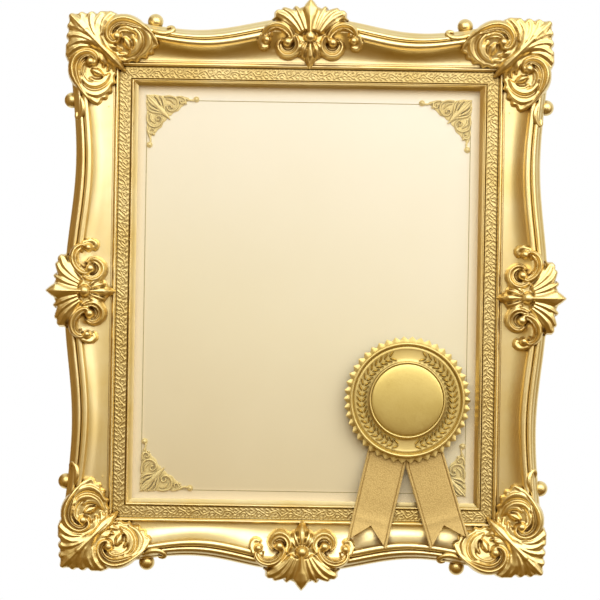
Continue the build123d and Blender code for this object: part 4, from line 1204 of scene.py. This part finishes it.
class FRAME_OT_stage(bpy.types.Operator):
    """Set the wall, the card, the studio light and the camera"""

    bl_idname = "frame.stage"
    bl_label = "Stage"

    def execute(self, context):
        scene = context.scene
        scene.view_settings.view_transform = "Standard"
        self.backdrop()
        self.world(scene)
        self.softbox("softbox", place=(0.18, -1.0, 0.60), size=(1.7, 0.95), power=11.8)
        self.softbox("side softbox", place=(1.0, -0.75, 0.15), size=(0.6, 0.9), power=1.8)
        self.camera(scene)
        return {"FINISHED"}

    def backdrop(self):
        """A white wall well behind the frame, and a dark card on the left that shades its left edge."""
        material, shader, place = new_material("white studio paper", Roughness=0.9)
        tone = add_node(
            material, "ShaderNodeTexNoise", (("Vector", place),),
            (("Scale", 1 / mm(300.0)), ("Detail", 3.0)),
        )
        mottle = add_node(
            material, "ShaderNodeValToRGB", (("Fac", tone.outputs["Fac"]),),
            stops=((0.0, linear("#F4F4F4")), (1.0, linear("#FAFAFA"))),
        )
        join(material, "Base Color", shader, mottle.outputs["Color"])
        path = add_node(material, "ShaderNodeLightPath")
        seen = add_node(
            material, "ShaderNodeMath",
            ((0, path.outputs["Is Camera Ray"]), (1, path.outputs["Is Transmission Ray"])),
            operation="MAXIMUM",
        )
        shown = add_node(
            material, "ShaderNodeMath", ((0, seen.outputs["Value"]), (1, path.outputs["Is Glossy Ray"])),
            operation="MAXIMUM",
        )
        glow = add_node(material, "ShaderNodeEmission", values=(("Strength", 1.0),))
        mixed = add_node(
            material, "ShaderNodeMixShader",
            ((0, shown.outputs["Value"]), (1, shader.outputs["BSDF"]), (2, glow.outputs["Emission"])),
        )
        self.one_sided(material, mixed.outputs["Shader"])
        start_fresh()
        bpy.ops.mesh.primitive_plane_add(size=6, location=(0, 0.8, 0), rotation=(math.radians(90), 0, 0))
        wall = bpy.context.object
        wall.name = "studio_wall"
        wall.data.materials.append(material)
        bpy.ops.object.transform_apply(location=True, rotation=True, scale=True)
        start_fresh()
        bpy.ops.mesh.primitive_plane_add(size=1.6, location=(-0.75, 0.05, 0),
                                         rotation=(0, math.radians(90), 0))
        card = bpy.context.object
        card.name = "studio_dark_card"
        card.data.materials.append(plain_finish("brown studio card", "#A0824C", "#AC8E56", 0.9, 4.0, 0.1))
        card.visible_camera = False
        bpy.ops.object.transform_apply(location=True, rotation=True, scale=True)

    def one_sided(self, material, surface):
        """Show a stage piece from its front alone, so that it hides nothing from a view behind it."""
        side = add_node(material, "ShaderNodeNewGeometry")
        clear = add_node(material, "ShaderNodeBsdfTransparent")
        shown = add_node(
            material, "ShaderNodeMixShader",
            ((0, side.outputs["Backfacing"]), (1, surface), (2, clear.outputs["BSDF"])),
        )
        output = material.node_tree.nodes["Material Output"]
        material.node_tree.links.new(shown.outputs["Shader"], output.inputs["Surface"])

    def world(self, scene):
        """A room that is pale overhead and falls to a warm brown below; the camera sees white."""
        scene.world = bpy.data.worlds.new("studio room")
        scene.world.use_nodes = True
        place = add_node(scene.world, "ShaderNodeTexCoord")
        axes = add_node(scene.world, "ShaderNodeSeparateXYZ", (("Vector", place.outputs["Generated"]),))
        height = add_node(
            scene.world, "ShaderNodeMapRange", (("Value", axes.outputs["Z"]),),
            (("From Min", -1.0), ("From Max", 1.0)),
        )
        tone = add_node(
            scene.world, "ShaderNodeValToRGB", (("Fac", height.outputs["Result"]),),
            stops=((0.0, (0.17, 0.09, 0.01, 1)), (0.38, (0.26, 0.14, 0.02, 1)), (0.5, (0.47, 0.365, 0.17, 1)),
                   (0.7, (0.73, 0.68, 0.55, 1)), (1.0, (0.78, 0.75, 0.67, 1))),
        )
        path = add_node(scene.world, "ShaderNodeLightPath")
        colour = add_node(
            scene.world, "ShaderNodeMix",
            (("Factor", path.outputs["Is Camera Ray"]), ("A", tone.outputs["Color"])),
            data_type="RGBA",
        )
        colour.inputs["B"].default_value = linear("#FFFFFF")
        back = scene.world.node_tree.nodes["Background"]
        scene.world.node_tree.links.new(colour.outputs["Result"], back.inputs["Color"])

    def softbox(self, name, place, size, power):
        """A rectangular lamp that faces the frame's middle."""
        light = bpy.data.lights.new(name, "AREA")
        light.shape = "RECTANGLE"
        light.size, light.size_y = size
        light.energy = power
        lamp = bpy.data.objects.new(name, light)
        bpy.context.collection.objects.link(lamp)
        lamp.location = place
        lamp.rotation_euler = (-Vector(place)).to_track_quat("-Z", "Y").to_euler()

    def camera(self, scene):
        """Square on to the frame, with the photograph's slight roll."""
        lens = bpy.data.cameras.new("square on")
        camera = bpy.data.objects.new("square on", lens)
        scene.collection.objects.link(camera)
        # The picture's size and the frame's middle in pixels, and millimetres a pixel.
        photo_size, scale, centre, roll = 600, 0.713, (306.0, 294.5), math.radians(0.95)
        right = (photo_size / 2 - centre[0]) * scale
        up = (centre[1] - photo_size / 2) * scale
        aim_x = right * math.cos(roll) - up * math.sin(roll)
        aim_z = right * math.sin(roll) + up * math.cos(roll)
        away = mm(sizes().camera_distance)
        camera.location = (mm(aim_x), -away, mm(aim_z))
        camera.rotation_euler = (math.radians(90), -roll, 0)
        face_depth = mm(sizes().bumper + sizes().rebate + 5)
        lens.lens = lens.sensor_width * (away - face_depth) / mm(photo_size * scale)
        scene.camera = camera


class FRAME_PT_panel(bpy.types.Panel):
    """Lists the pieces of the frame"""

    bl_idname = "FRAME_PT_panel"
    bl_label = "Certificate frame"
    bl_space_type = "VIEW_3D"
    bl_region_type = "UI"
    bl_category = "Frame"

    def draw(self, context):
        for operator in OPERATORS:
            self.layout.operator(operator.bl_idname)


OPERATORS = (
    FRAME_OT_rails, FRAME_OT_friezes, FRAME_OT_corners, FRAME_OT_crests, FRAME_OT_pearls,
    FRAME_OT_certificate, FRAME_OT_rosette, FRAME_OT_ribbons, FRAME_OT_back, FRAME_OT_stage,
)
CLASSES = (FrameSizes, FrameColours) + OPERATORS + (FRAME_PT_panel,)


def register():
    """Make the classes and the sizes known to Blender."""
    for item in CLASSES:
        bpy.utils.register_class(item)
    bpy.types.Scene.frame_sizes = PointerProperty(type=FrameSizes)
    bpy.types.Scene.frame_colours = PointerProperty(type=FrameColours)


def unregister():
    """Take them out again."""
    del bpy.types.Scene.frame_colours
    del bpy.types.Scene.frame_sizes
    for item in reversed(CLASSES):
        bpy.utils.unregister_class(item)


def main():
    """Register the classes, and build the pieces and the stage."""
    register()
    bpy.ops.frame.rails()
    bpy.ops.frame.friezes()
    bpy.ops.frame.corners()
    bpy.ops.frame.crests()
    bpy.ops.frame.pearls()
    bpy.ops.frame.certificate()
    bpy.ops.frame.rosette()
    bpy.ops.frame.ribbons()
    bpy.ops.frame.back()
    bpy.ops.frame.stage()


if __name__ == "__main__":
    main()
